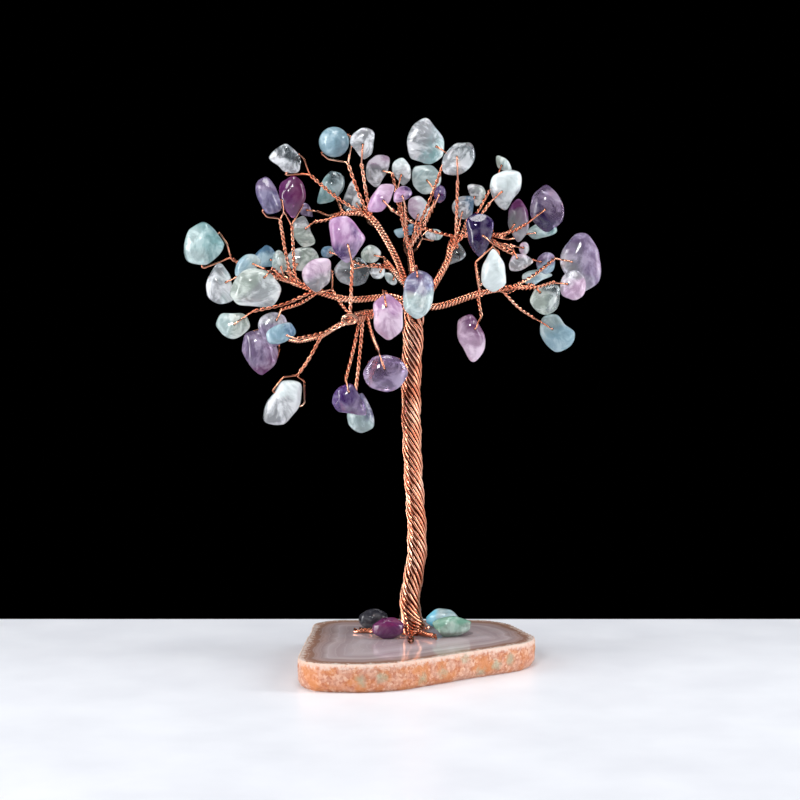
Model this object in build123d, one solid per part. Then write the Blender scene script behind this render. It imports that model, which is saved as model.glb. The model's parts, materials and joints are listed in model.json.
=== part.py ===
from build123d import *

import os
from collections import namedtuple
from math import asin, cos, radians, sin

# Gemstone tree ornament: drilled stone chips on copper wire. Each wire is threaded through a chip
# and folded, its two ends are twisted into a twig, the twigs are twisted into limbs and the limbs
# into the trunk. At the foot the ends are splayed as roots and glued to a polished agate slice.
# Frame: millimetres, +Z up, +Y away from the viewer. The origin is on the slice's underside, right
# below the foot of the trunk.

# Driving sizes
tree_height = 120.0
crown_half_depth = 34.0
chip_length = 9.4
bore_diameter = 1.0
wire_diameter = 0.36
twig_diameter = 0.8
limb_diameter = 1.5
trunk_diameter = 4.3
trunk_lay_pitch = 20.0
slab_width = 53.0
slab_depth = 53.0
slab_thickness = 6.0
slab_corner_radius = 6.0
slab_edge_round = 1.2
slab_rim_round = 0.5
root_diameter = 1.3
resin_width = 27.0
resin_depth = 15.0
resin_thickness = 0.6
base_chip_thickness = 4.4

# Clearances
loop_clearance = 0.5
rocking_clearance = 0.7
limb_gap = 0.05
overrun = 1.0

# The photograph: its frame, the camera that it fits, and the pixels of the highest chip, of the
# slice's underside and of the trunk's foot
frame_px = (800, 800)
focal_share = 2.75
highest_px = (427, 116)
underside_px = (412, 664)
foot_px = (412, 634)
look_down = 4.8
mm_per_px = tree_height / (underside_px[1] - highest_px[1])
eye_distance = focal_share * frame_px[0] * mm_per_px


def ray(px, py):
    """The direction in which the photograph looks at a pixel."""
    right, down = ((at / side - 0.5) / focal_share for at, side in zip((px, py), frame_px))
    tilt = radians(look_down)
    return Vector(right, cos(tilt) - down * sin(tilt), -sin(tilt) - down * cos(tilt))


eye = Vector(0, 0, slab_thickness) - ray(*foot_px) * (eye_distance / ray(*foot_px).Y)


def seen_at(px, py, back_share):
    """The place that the photograph shows at a pixel, behind the trunk by a share of the crown's depth."""
    sight = ray(px, py)
    return eye + sight * ((back_share * crown_half_depth - eye.Y) / sight.Y)


def on_slab(px, py):
    """The place on the slice's top that the photograph shows at a pixel."""
    sight = ray(px, py)
    return eye + sight * ((slab_thickness - eye.Z) / sight.Z)


# Solids with plane faces

wire_sides, limb_sides = 4, 6


def solid_of_rings(rings, twisted=False):
    """A closed solid through rings of as many points: plane quads between them, or triangles if twisted."""
    faces = [Face(Wire.make_polygon(rings[0])), Face(Wire.make_polygon(rings[-1]))]
    for low, high in zip(rings, rings[1:]):
        for i in range(len(low)):
            j = (i + 1) % len(low)
            if twisted:
                faces.append(Face(Wire.make_polygon([low[i], low[j], high[j]])))
                faces.append(Face(Wire.make_polygon([low[i], high[j], high[i]])))
            else:
                faces.append(Face(Wire.make_polygon([low[i], low[j], high[j], high[i]])))
    solid = Solid(Shell(faces))
    return solid if solid.volume > 0 else Solid(Shell(faces)).fix()


def bar(points, diameter, sides):
    """A wire or a bundle of wires along straight runs, mitred where it bends."""
    points = [Vector(p) for p in points]
    runs = [(b - a).normalized() for a, b in zip(points, points[1:])]
    start = Plane(origin=points[0], z_dir=runs[0])
    turn, corner = 360 / sides, Vector(diameter / 2, 0)
    ring = [start.from_local_coords(corner.rotate(Axis.Z, turn * i)) for i in range(sides)]
    rings = [ring]
    for i, run in enumerate(runs):
        at = points[i + 1]
        normal = (run + runs[i + 1]).normalized() if i + 1 < len(runs) else run
        ring = [p + run * ((at - p).dot(normal) / run.dot(normal)) for p in ring]
        rings.append(ring)
    return solid_of_rings(rings)


# Chips

# Profiles through a chip's thickness, as (share of the half thickness, share of the outline)
tumbled_profile_shares = ((-1.0, 0.46), (-0.42, 0.98), (0.42, 0.98), (1.0, 0.46))
small_profile_shares = ((-1.0, 0.5), (0.0, 1.0), (1.0, 0.5))
bead_profile_shares = ((-1.0, 0.3), (-0.72, 0.72), (-0.25, 0.98), (0.25, 0.98), (0.72, 0.72), (1.0, 0.3))
profile_lean_share = 0.06

# Each fork's chips: their node, their pixel, how far back they lie, how many pixels away the edge is
# at even turns from the right through the top, the thickness as a share of the narrowest width, the
# direction of the twig there, how far out the hole is as a share of the way to the edge at the twig,
# and how many pixels beyond that edge the twist ends. The hole goes through the chip towards the
# viewer, or across the twig.
THROUGH, ACROSS = "through", "across"
usual_knot_px = 4
chip_columns = "fork node px py back_share edge_px thick_share twig_angle hole_share knot_px hole"
Chip = namedtuple("Chip", chip_columns, defaults=[usual_knot_px, THROUGH])
chips_of_forks = {
    "right": [
        ("stone_31_white", 493, 272, -0.46, (13, 15, 23, 14, 12, 17, 20, 18), 0.80, 150, 0.30, 5, ACROSS),
        ("stone_34_rose_lilac", 472, 335, -0.14, (13, 12, 21, 20, 15, 15, 27, 19), 0.75, 63, 0.50),
    ],
    "right_tip": [
        ("stone_35_large_lilac", 582, 264, 0.06, (19, 22, 31, 23, 22, 20, 28, 24), 0.50, 168, 0.50),
        ("stone_36_pink", 574, 285, -0.38, (12, 13, 15, 14, 14, 16, 15, 13), 0.75, 172, 0.50, 5),
        ("stone_37_grey_green", 546, 299, -0.14, (14, 19, 15, 15, 16, 15, 16, 14), 0.66, 132, 0.60),
        ("stone_38_pale_blue", 557, 332, 0.12, (18, 12, 18, 21, 17, 16, 20, 19), 0.60, 148, 0.30),
        ("stones_clear_right", 534, 275, 0.52, (18, 8, 5, 6, 12, 12, 10, 8), 0.95, -145, 0.50),
    ],
    "upper": [
        ("stone_13_lilac", 381, 198, -0.36, (10, 19, 14, 9, 10, 19, 14, 9), 0.95, -48, 0.40),
        ("stone_17_clear", 457, 156, -0.22, (18, 19, 13, 11, 14, 21, 19, 17), 0.70, -88, 0.05),
        ("stones_pale_far_right", 503, 162, 0.40, (6, 4, 4, 9, 7, 8, 9, 12), 0.85, -112, 0.50),
        ("stone_19_white", 506, 188, 0.00, (15, 22, 18, 18, 16, 16, 22, 12), 0.68, -138, 0.35),
        ("stones_clear_upper", 464, 206, 0.14, (10, 13, 10, 10, 12, 13, 13, 12), 0.80, -105, 0.50),
        ("stones_clear_upper", 476, 193, 0.50, (10, 10, 9, 12, 7, 7, 13, 10), 0.85, -110, 0.50),
        ("stones_clear_upper", 457, 255, 0.36, (9, 9, 14, 8, 7, 14, 6, 6), 0.90, 88, 0.50),
    ],
    "upper_far": [
        ("stone_20_purple", 547, 208, 0.02, (17, 17, 23, 19, 17, 19, 24, 20), 0.55, -142, 0.15, 5),
        ("stones_lilac_right", 519, 219, 0.26, (10, 12, 20, 13, 11, 14, 23, 14), 0.80, -130, 0.50),
        ("stones_pale_far_right", 542, 232, 0.50, (15, 16, 9, 9, 15, 10, 6, 7), 0.95, -172, 0.50),
        ("stone_23_dark_purple", 481, 234, -0.28, (12, 18, 21, 21, 14, 16, 24, 12), 0.66, -38, 0.25),
        ("stones_clear_right", 519, 262, 0.08, (14, 10, 8, 10, 10, 13, 9, 9), 0.85, 115, 0.50),
        ("stones_lilac_right", 545, 263, 0.36, (10, 12, 11, 9, 9, 10, 11, 11), 0.85, 165, 0.50),
        ("stones_lilac_right", 524, 248, 0.16, (5, 6, 6, 5, 5, 6, 7, 6), 0.85, 170, 0.15),
    ],
    "middle": [
        ("stone_05_rose", 377, 170, 0.10, (11, 18, 15, 13, 11, 14, 17, 10), 0.70, -10, 0.60),
        ("stones_amethyst_small", 402, 194, -0.14, (10, 9, 8, 7, 8, 12, 8, 8), 0.85, -75, 0.30),
        ("stone_15_teal_grey", 427, 141, 0.05, (17, 15, 23, 20, 20, 23, 23, 21), 0.62, -30, 0.60),
        ("stone_16_ice", 423, 175, 0.34, (18, 14, 10, 12, 11, 14, 19, 20), 0.75, -52, 0.35),
        ("stones_amethyst_small", 440, 193, 0.00, (6, 7, 8, 6, 6, 7, 10, 7), 0.85, -115, 0.25),
        ("stones_white_middle", 420, 210, 0.56, (10, 10, 14, 15, 12, 10, 11, 9), 0.75, -110, 0.50),
        ("stones_blue_small", 406, 230, 0.80, (17, 9, 4, 4, 12, 11, 6, 6), 0.95, -100, 0.30, 5),
        ("stones_white_middle", 434, 234, 0.64, (9, 6, 5, 6, 9, 7, 6, 8), 0.95, -165, 0.30, 4, ACROSS),
        ("stones_white_middle", 402, 172, 0.24, (9, 10, 14, 12, 10, 9, 13, 11), 0.75, -105, 0.30),
    ],
    "top_left": [
        ("stone_02_clear", 286, 159, -0.10, (15, 11, 15, 14, 17, 11, 14, 18), 0.75, -33, 0.50, 8, ACROSS),
        ("stone_03_blue_bead", 334, 142, -0.05, (15,) * 10, 1.00, -56, 0.12, 7, ACROSS),
        ("stones_pale_top_left", 363, 143, -0.15, (11, 16, 15, 13, 13, 10, 16, 13), 0.62, -95, 0.10),
        ("stones_pale_top_left", 353, 198, 0.36, (9, 8, 17, 10, 10, 14, 15, 13), 0.75, -55, 0.50),
    ],
    "top_left_side": [
        ("stones_amethyst_small", 306, 210, 0.42, (5, 5, 7, 7, 6, 7, 6, 10), 0.85, -8, 0.20, 5),
        ("stones_pale_top_left", 303, 231, 0.20, (8, 9, 15, 14, 11, 11, 16, 17), 0.75, 40, 0.40),
        ("stone_10_aqua", 332, 189, 0.24, (12, 18, 18, 13, 12, 21, 13, 9), 0.75, -66, 0.50),
    ],
    "left": [
        ("stone_06_lavender", 267, 196, -0.10, (12, 13, 19, 16, 11, 10, 18, 20), 0.90, -60, 0.55, 5, ACROSS),
        ("stone_07_mauve", 293, 195, 0.12, (13, 15, 19, 17, 14, 15, 23, 13), 0.66, -93, 0.40, 5, ACROSS),
        ("stone_42_clear_green", 255, 288, -0.30, (26, 22, 20, 20, 25, 24, 19, 26), 0.60, 48, 0.65),
        ("stones_blue_left", 249, 262, -0.10, (12, 10, 8, 9, 12, 20, 8, 8), 0.85, -25, 0.50),
        ("stones_blue_left", 266, 257, 0.36, (10, 11, 12, 10, 12, 12, 10, 12), 0.80, -30, 0.50),
        ("stones_pale_green_left", 279, 262, 0.22, (8, 9, 12, 9, 7, 9, 12, 11), 0.80, -70, 0.50),
        ("stones_pale_green_left", 301, 259, 0.40, (18, 16, 12, 12, 16, 13, 12, 13), 0.75, -125, 0.50),
        ("stone_54_pale_green", 233, 325, -0.10, (17, 17, 12, 17, 17, 14, 14, 13), 0.66, 35, 0.10, 5),
        ("stone_55_lilac", 273, 329, -0.22, (15, 17, 17, 16, 15, 14, 18, 17), 0.48, 68, 0.60),
    ],
    "left_tip": [
        ("stone_01_teal", 204, 244, 0.00, (20, 18, 22, 21, 20, 24, 21, 18), 0.62, -27, 0.45, 9, ACROSS),
        ("stone_43_clear", 220, 285, 0.16, (13, 15, 22, 14, 14, 17, 19, 20), 0.68, 25, 0.50),
    ],
    "front_low": [
        ("stone_32_lavender", 419, 294, -0.62, (15, 21, 24, 20, 16, 20, 25, 17), 0.66, 95, 0.75),
        ("stone_33_pink", 388, 317, -0.36, (15, 19, 23, 21, 15, 18, 23, 19), 0.55, 100, 0.50),
    ],
    "front": [
        ("stone_12_amethyst", 346, 238, -0.36, (19, 16, 22, 24, 16, 18, 25, 17), 0.55, -76, 0.35),
        ("stone_48_rose_lilac", 317, 272, -0.12, (14, 18, 14, 13, 15, 16, 20, 16), 0.6, -50, 0.5, 5, ACROSS),
        ("stones_blue_small", 280, 333, -0.52, (16, 15, 9, 9, 14, 16, 10, 10), 0.80, -20, 0.60),
        ("stone_59_purple", 351, 400, -0.50, (11, 11, 17, 18, 19, 17, 14, 22), 0.66, 105, 0.50),
        ("stone_60_blue_clear", 361, 413, -0.18, (12, 12, 20, 13, 14, 17, 20, 19), 0.70, 105, 0.50),
        ("stone_61_purple_disc", 386, 373, -0.56, (22, 19, 18, 20, 23, 21, 19, 19), 0.50, 110, 0.25),
    ],
    "front_side": [
        ("stone_57_amethyst", 260, 350, 0.10, (18, 17, 20, 22, 18, 17, 25, 20), 0.58, 35, 0.35, 5, ACROSS),
        ("stone_58_white", 283, 402, -0.46, (19, 27, 22, 13, 17, 28, 23, 15), 0.85, 62, 0.20, 4, ACROSS),
    ],
    "back": [
        ("stones_clear_back", 379, 274, 0.88, (6, 8, 11, 10, 9, 7, 5, 5), 0.80, 58, 0.30),
        ("stones_clear_back", 370, 254, 0.70, (11, 9, 9, 8, 9, 10, 9, 10), 0.75, -15, 0.50),
        ("stone_50_clear_ring", 352, 269, 0.48, (18, 15, 12, 14, 18, 17, 17, 19), 0.55, 12, 0.10),
        ("stones_clear_back", 329, 252, 0.14, (6, 6, 6, 7, 8, 8, 6, 5), 0.85, -20, 0.20),
        ("stones_clear_back", 393, 281, 0.64, (4, 4, 8, 12, 6, 4, 4, 4), 0.95, 78, 0.20),
    ],
}
chips = [Chip(fork, *row) for fork, rows in chips_of_forks.items() for row in rows]
# Chips whose folded wire is open, so that they rock about it
rocking_nodes = [
    "stone_01_teal",
    "stone_02_clear",
    "stone_03_blue_bead",
    "stone_06_lavender",
    "stone_20_purple",
    "stone_31_white",
    "stone_34_rose_lilac",
    "stone_35_large_lilac",
    "stone_38_pale_blue",
    "stone_54_pale_green",
    "stone_58_white",
    "stone_61_purple_disc",
]


def chip_frame(chip):
    """The chip's own axes: X and Y over its face, Z towards the viewer."""
    at = seen_at(chip.px, chip.py, chip.back_share)
    return Plane(origin=at, x_dir=(1, 0, 0), z_dir=eye - at)


def chip_scale(chip):
    """Millimetres to a pixel at the chip's distance."""
    return mm_per_px * (1 + chip.back_share * crown_half_depth / eye_distance)


def chip_corners(chip, twig_angle=0):
    """The corners of the chip's outline, turned so that its twig lies along X."""
    turn, scale = 360 / len(chip.edge_px), chip_scale(chip)
    return [Vector(r * scale, 0).rotate(Axis.Z, turn * i - twig_angle) for i, r in enumerate(chip.edge_px)]


def chip_half_thickness(chip):
    opposite = len(chip.edge_px) // 2
    narrowest = min(a + b for a, b in zip(chip.edge_px, chip.edge_px[opposite:]))
    return narrowest * chip_scale(chip) / 2 * chip.thick_share


def tumbled(frame, corners, thick, profile_shares):
    """A tumbled chip: its outline, drawn in and leaning a little towards both faces."""
    lean = profile_lean_share * sum(corner.length for corner in corners) / len(corners)
    rings = []
    for along_share, size_share in profile_shares:
        shift = Vector(lean * along_share, -lean * along_share, thick * along_share)
        rings.append([frame.from_local_coords(corner * size_share + shift) for corner in corners])
    return solid_of_rings(rings)


def outline_crossings(corners, along):
    """Where the outline crosses the line square to the twig at a distance along it."""
    crossings = []
    for a, b in zip(corners, corners[1:] + corners[:1]):
        if (a.X - along) * (b.X - along) < 0:
            crossings.append(a.Y + (b.Y - a.Y) * (along - a.X) / (b.X - a.X))
    return crossings


def edge_reach(corners):
    """How far the outline reaches along the twig."""
    turned = [Vector(c.Y, c.X) for c in corners]
    return max(outline_crossings(turned, 0))


def taut_leg(knot, end, corners):
    """The bends of a wire drawn tight from the knot round the corners to the end of the hole.

    Corners within a wire's width of the hole make no bend of their own.
    """
    bends, at = [], knot
    while at is not end:
        here = at
        ahead = [c for c in corners if end.X + wire_diameter < c.X < here.X] + [end]
        at = max(ahead, key=lambda c: (c.Y - here.Y) / (here.X - c.X))
        bends.append(at)
    return bends


def legs_over_faces(knot_reach, reach, thick, hole_along):
    """The bends of a leg from the knot over a face's shoulder to the hole, along the twig and off it."""
    touch, hole = asin(reach / knot_reach), asin(hole_along / reach)
    bend, out = (touch + hole) / 2, 1 / cos((touch - hole) / 2)
    return [Vector(reach * out * sin(bend), thick * out * cos(bend)), Vector(hole_along, thick * cos(hole))]


def loop_points(chip):
    """The folded wire: its knot, and the points of both legs from there to the ends of the hole."""
    place = chip_frame(chip).from_local_coords
    corners, thick = chip_corners(chip, chip.twig_angle), chip_half_thickness(chip)
    clearance = rocking_clearance if chip.node in rocking_nodes else loop_clearance
    reach = edge_reach(corners)
    hole_along = reach * chip.hole_share
    knot = Vector(reach + clearance + chip.knot_px * chip_scale(chip), 0)
    if chip.hole == THROUGH:
        bends = legs_over_faces(knot.X, reach + clearance, thick + clearance, hole_along)
        flat_legs = [[Vector(at.X, 0, side * at.Y) for at in bends] for side in (1, -1)]
    else:
        flat_legs = []
        for side in (1, -1):
            cleared = [c * (1 + clearance / c.length) for c in corners]
            cleared = [Vector(c.X, side * c.Y) for c in cleared]
            outermost = max(side * y for y in outline_crossings(corners, hole_along))
            bends = taut_leg(knot, Vector(hole_along, outermost + clearance), cleared)
            flat_legs.append([Vector(at.X, side * at.Y) for at in bends])
    first, second = [[place(at.rotate(Axis.Z, chip.twig_angle)) for at in leg] for leg in flat_legs]
    return place(knot.rotate(Axis.Z, chip.twig_angle)), first, second


def chip_solid(chip):
    """A chip with the hole that it is threaded by, round where the chip rocks about its wire."""
    profile = tumbled_profile_shares
    if chip.thick_share == 1:
        profile = bead_profile_shares
    elif chip.node.startswith("stones_"):
        profile = small_profile_shares
    blank = tumbled(chip_frame(chip), chip_corners(chip), chip_half_thickness(chip), profile)
    first, second = [leg[-1] for leg in loop_points(chip)[1:]]
    middle, direction = (first + second) / 2, (second - first).normalized()
    reach = direction * ((second - first).length / 2 + overrun)
    if chip.node in rocking_nodes:
        hole = Plane(origin=middle, z_dir=direction) * Cylinder(bore_diameter / 2, 2 * reach.length)
    else:
        hole = bar([middle - reach, middle + reach], bore_diameter, limb_sides)
    return blank - hole


# Wires

# Forks, where twigs part from a limb: pixel, and how far back as a share of the crown's half depth
Fork = namedtuple("Fork", "px py back_share")
forks = {
    "right": Fork(481, 293, -0.10),
    "right_tip": Fork(512, 287, -0.08),
    "upper": Fork(457, 237, 0.06),
    "upper_far": Fork(500, 235, 0.14),
    "middle": Fork(408, 243, 0.28),
    "top_left": Fork(368, 216, -0.02),
    "top_left_side": Fork(338, 214, 0.10),
    "left": Fork(292, 282, 0.08),
    "left_tip": Fork(262, 273, 0.16),
    "front_low": Fork(409, 306, -0.14),
    "front": Fork(350, 319, -0.32),
    "front_side": Fork(318, 338, -0.36),
    "back": Fork(386, 262, 0.50),
}
# Limbs: their place in the ring on the trunk's top in degrees, or None for the one in the middle,
# and their route from there: forks by name, and bends as (pixel, pixel, back share)
Limb = namedtuple("Limb", "node seat_angle route")
limbs = [
    Limb("limb_middle", None, [(413, 286, -0.01), (411, 262, 0.18), "middle"]),
    Limb("limb_right", -10, [(441, 306, -0.05), "right", "right_tip"]),
    Limb("limb_upper_right", 50, [(431, 290, 0.02), (447, 262, 0.04), "upper", "upper_far"]),
    Limb("limb_back", 110, [(408, 290, 0.22), "back"]),
    Limb("limb_top_left", 170, [(405, 282, 0.04), (391, 248, 0.00), "top_left", "top_left_side"]),
    Limb("limb_left", 230, [(392, 297, -0.05), (345, 299, 0.04), "left", "left_tip"]),
    Limb("limb_front_left", 290, ["front_low", (376, 313, -0.24), "front", "front_side"]),
]
limb_stub_share = 0.8
limb_taper_share = 0.88
fork_spread_share = 0.8
leg_gap_share = 0.53
twig_sag_share = 0.05
knot_overlap_share = 0.4


def limb_points(limb):
    """The limb's route from its seat on the trunk's top, with the index of each fork on it."""
    seat = Vector(trunk_top)
    if limb.seat_angle is not None:
        seat += Vector(limb_ring_radius, 0, 0).rotate(Axis.Z, limb.seat_angle)
    points = [seat, seat + Vector(0, 0, limb_diameter * limb_stub_share)]
    points += [seen_at(*forks[stop]) if stop in forks else seen_at(*stop) for stop in limb.route]
    return points, {stop: i + 2 for i, stop in enumerate(limb.route) if stop in forks}


def twig_start(chip):
    """Twigs of one fork leave the limb one after another along the run that ends there."""
    limb = next(limb for limb in limbs if chip.fork in limb.route)
    points, at_fork = limb_points(limb)
    fork, before = points[at_fork[chip.fork]], points[at_fork[chip.fork] - 1]
    peers = [other for other in chips if other.fork == chip.fork]
    spacing = min(twig_diameter, (before - fork).length * fork_spread_share / len(peers))
    return fork + (before - fork).normalized() * (spacing * peers.index(chip))


def twig_bars(chip):
    """A chip's twisted twig and its folded wire, whose two legs end side by side in the twig."""
    knot, first, second = loop_points(chip)
    start = twig_start(chip)
    bend = (start + knot) / 2 - Vector(0, 0, (knot - start).length * twig_sag_share)
    twig_end = knot + (knot - bend).normalized() * (twig_diameter * knot_overlap_share)
    apart = (first[-1] - second[-1]).normalized() * (wire_diameter * leg_gap_share)
    return [
        bar([start, bend, twig_end], twig_diameter, wire_sides),
        bar([knot + apart, *first, *reversed(second), knot - apart], wire_diameter, wire_sides),
    ]


def limb_bars(limb):
    """A limb from its seat on the trunk's top to its last fork, thinner after each fork."""
    points, at_fork = limb_points(limb)
    diameter, done, bars = limb_diameter, 0, []
    for index in at_fork.values():
        bars.append(bar(points[done : index + 1], diameter, limb_sides))
        diameter, done = diameter * limb_taper_share, index
    return bars


# Trunk and roots

trunk_route_px = [(410, 598), (417, 545), (413, 470), (411, 392), (414, 312)]
trunk_lobes = 6
trunk_valley_share = 0.9
trunk_flare_share = 0.14
trunk_turn_step = 36
# Roots: the pixel of each tip on the slice
root_tips_px = {"front": (410, 643), "right": (437, 639), "left": (354, 633), "back": (427, 630)}
root_knee_share = 1.4

foot = Vector(0, 0, slab_thickness)
trunk_line = Spline(foot, *[seen_at(px, py, 0) for px, py in trunk_route_px])
trunk_top = trunk_line @ 1
limb_ring_radius = limb_diameter + limb_gap


def trunk():
    """The twisted trunk: lobes that turn left-handed as they climb, each to its limb's seat."""
    first_seat = min(limb.seat_angle for limb in limbs if limb.seat_angle is not None)
    steps = round((trunk_top.Z - foot.Z) / trunk_lay_pitch * 360 / trunk_turn_step)
    rings = []
    for step in range(steps + 1):
        share = step / steps
        at = trunk_line @ share
        radius = trunk_diameter / 2 * (1 + trunk_flare_share * (2 * share - 1) ** 2)
        ring = []
        for i in range(2 * trunk_lobes):
            out = radius * (1 if i % 2 == 0 else trunk_valley_share)
            angle = radians(first_seat + 180 / trunk_lobes * i + trunk_turn_step * (steps - step))
            ring.append(Vector(at.X + out * cos(angle), at.Y + out * sin(angle), at.Z))
        rings.append(ring)
    return solid_of_rings(rings, twisted=True)


def root(tip_px):
    """A bundle of wire ends that bends out of the trunk's foot and lies on the slice."""
    lie = Vector(0, 0, root_diameter / 2)
    tip = on_slab(*tip_px) + lie
    out = Vector(tip.X, tip.Y).normalized()
    knee = foot + out * (trunk_diameter / 2 * root_knee_share) + lie
    return bar([foot + Vector(0, 0, 2 * root_diameter), knee, tip], root_diameter, limb_sides)


# Base: the polished slice, the chips glued on it and the puddle of resin round them

# The slice's corners, as shares of its width and depth from the trunk
slab_corner_shares = [(-0.47, -0.62), (-0.42, 0.33), (0.40, 0.33), (0.55, -0.15), (-0.11, -0.66)]
# Outlines of the chips on the slice: points on an oval, in degrees
oval_corners = {
    "base_obsidian": (0, 52, 104, 155, 206, 258, 309),
    "base_amethyst": (25, 60, 120, 155, 205, 240, 300, 335),
    "base_turquoise": (22, 65, 112, 158, 205, 252, 285, 335),
    "base_green_fluorite": (10, 62, 95, 150, 182, 225, 262, 330),
}
# Chips on the slice: pixel of the footprint's middle, width and depth as shares of the chip length,
# height as a share of the base chips' thickness, and how they are turned on the slice
BaseChip = namedtuple("BaseChip", "px py wide_share deep_share high_share turn")
base_chips = {
    "base_obsidian": BaseChip(373, 628.5, 0.72, 0.62, 1.0, 10),
    "base_amethyst": BaseChip(388, 638.5, 0.80, 0.50, 1.05, 4),
    "base_turquoise": BaseChip(442, 628, 0.82, 0.52, 1.0, -8),
    "base_green_fluorite": BaseChip(452, 636.5, 0.92, 0.50, 1.05, 6),
}
resin_centre_shares = (0.03, 0.06)


def slab():
    corners = [(slab_width * x, slab_depth * y) for x, y in slab_corner_shares]
    face = make_face(Polyline(*corners, close=True))
    face = fillet(face.vertices(), slab_corner_radius)
    body = extrude(face, slab_thickness)
    body = chamfer(body.faces().sort_by(Axis.Z)[0].edges(), slab_edge_round)
    return chamfer(body.faces().sort_by(Axis.Z)[-1].edges(), slab_rim_round)


def base_chip(name, chip):
    half_height = base_chip_thickness * chip.high_share / 2
    turn = radians(chip.turn)
    middle = on_slab(chip.px, chip.py) + Vector(0, 0, half_height)
    frame = Plane(origin=middle, x_dir=Vector(cos(turn), sin(turn)), z_dir=(0, 0, 1))
    wide, deep = chip_length * chip.wide_share / 2, chip_length * chip.deep_share / 2
    corners = [Vector(wide * cos(radians(a)), deep * sin(radians(a))) for a in oval_corners[name]]
    return tumbled(frame, corners, half_height, tumbled_profile_shares)


def resin(standing):
    """The puddle round what stands in it."""
    x_share, y_share = resin_centre_shares
    centre = foot + Vector(resin_width * x_share, resin_depth * y_share, 0)
    puddle = Plane(origin=centre) * extrude(Ellipse(resin_width / 2, resin_depth / 2), resin_thickness)
    return puddle - standing


# Build and write every node

nodes = {}
nodes["agate_slab"] = slab()
trunk_solid = trunk()
nodes["trunk"] = trunk_solid + [root(tip) for tip in root_tips_px.values()]
for name, chip in base_chips.items():
    nodes[name] = base_chip(name, chip)
standing = [nodes["trunk"]] + [nodes[name] for name in base_chips]
nodes["resin_puddle"] = resin(standing)
for limb in limbs:
    limb_chips = [chip for chip in chips if chip.fork in limb.route]
    bars = limb_bars(limb) + [b for chip in limb_chips for b in twig_bars(chip)]
    nodes[limb.node] = bars[0] + bars[1:]
for chip in chips:
    nodes.setdefault(chip.node, []).append(chip_solid(chip))

os.makedirs("parts", exist_ok=True)
for name, shape in nodes.items():
    export_step(Compound(children=shape) if isinstance(shape, list) else shape, f"parts/{name}.step")
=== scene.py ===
# %% [markdown]
# # A gemstone tree
# The ornament is a little tree of copper wire. Each tumbled stone chip is threaded on one wire,
# the wire is folded and twisted into a twig, twigs are laid together into limbs, and the limbs
# into a trunk that stands on a polished slice of agate. Every piece here is made around the
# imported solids, which are loaded first and stay where they are.

# %% Load the frame
import cmath
import json
import math
import random
from collections import namedtuple

import bmesh
import bpy
from mathutils import Matrix, Vector, noise

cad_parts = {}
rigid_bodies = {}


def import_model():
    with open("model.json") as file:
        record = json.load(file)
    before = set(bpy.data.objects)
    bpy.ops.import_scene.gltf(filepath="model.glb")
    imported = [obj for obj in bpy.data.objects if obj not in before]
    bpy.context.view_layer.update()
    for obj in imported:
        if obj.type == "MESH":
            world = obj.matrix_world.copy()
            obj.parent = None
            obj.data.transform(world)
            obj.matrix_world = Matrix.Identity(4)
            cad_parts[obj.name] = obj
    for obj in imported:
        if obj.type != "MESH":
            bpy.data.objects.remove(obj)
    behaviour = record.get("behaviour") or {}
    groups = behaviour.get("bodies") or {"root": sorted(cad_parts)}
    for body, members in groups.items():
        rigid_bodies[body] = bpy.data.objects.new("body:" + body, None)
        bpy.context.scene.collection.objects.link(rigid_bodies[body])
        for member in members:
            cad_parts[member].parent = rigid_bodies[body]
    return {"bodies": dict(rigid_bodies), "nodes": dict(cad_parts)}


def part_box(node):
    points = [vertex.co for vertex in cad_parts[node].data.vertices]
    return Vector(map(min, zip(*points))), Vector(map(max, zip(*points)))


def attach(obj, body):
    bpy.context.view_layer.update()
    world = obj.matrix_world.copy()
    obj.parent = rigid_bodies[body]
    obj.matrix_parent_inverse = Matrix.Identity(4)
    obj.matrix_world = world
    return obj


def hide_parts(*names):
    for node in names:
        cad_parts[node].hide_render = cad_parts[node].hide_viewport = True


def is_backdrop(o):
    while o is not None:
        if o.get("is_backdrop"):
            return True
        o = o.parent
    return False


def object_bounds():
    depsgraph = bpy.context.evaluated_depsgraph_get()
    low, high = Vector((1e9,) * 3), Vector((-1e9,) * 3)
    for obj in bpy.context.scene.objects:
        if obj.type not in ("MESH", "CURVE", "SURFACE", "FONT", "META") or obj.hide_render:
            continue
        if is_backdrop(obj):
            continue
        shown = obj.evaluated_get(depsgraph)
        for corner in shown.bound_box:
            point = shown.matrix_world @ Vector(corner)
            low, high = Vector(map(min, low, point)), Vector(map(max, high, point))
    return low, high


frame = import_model()
cad_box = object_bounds()
mm = 0.001
print("solids' box in mm:", [[round(c / mm, 1) for c in corner] for corner in cad_box])


def add_to_scene(name, data):
    """A new object with this data, linked into the scene."""
    made = bpy.data.objects.new(name, data)
    bpy.context.scene.collection.objects.link(made)
    return made


# %% [markdown]
# ## The photograph's camera
# The pieces of the crown have no neat dimensions to measure from: their places come from the
# picture. So the camera comes first. It looks down a little from the height of the crown, far
# away, and a pixel with a depth gives a place in space, as a line of sight meets an upright plane.

# %% Camera
tree_height = 120 * mm
tree_height_px = 548
crown_half_depth = 34 * mm
frame_px = 800
foot_px = (412, 634)
metres_per_px = tree_height / tree_height_px
focal_px = 2200
look_down = math.radians(4.8)
slab_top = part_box("agate_slab")[1].z
eye_distance = focal_px * metres_per_px


def ray(px, py):
    """The direction in which the camera looks at a pixel."""
    right, down = (px - frame_px / 2) / focal_px, (py - frame_px / 2) / focal_px
    tilt_cos, tilt_sin = math.cos(look_down), math.sin(look_down)
    return Vector((right, tilt_cos - down * tilt_sin, -tilt_sin - down * tilt_cos))


foot = Vector((0, 0, slab_top))
eye = foot - ray(*foot_px) * (eye_distance / ray(*foot_px).y)


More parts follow.
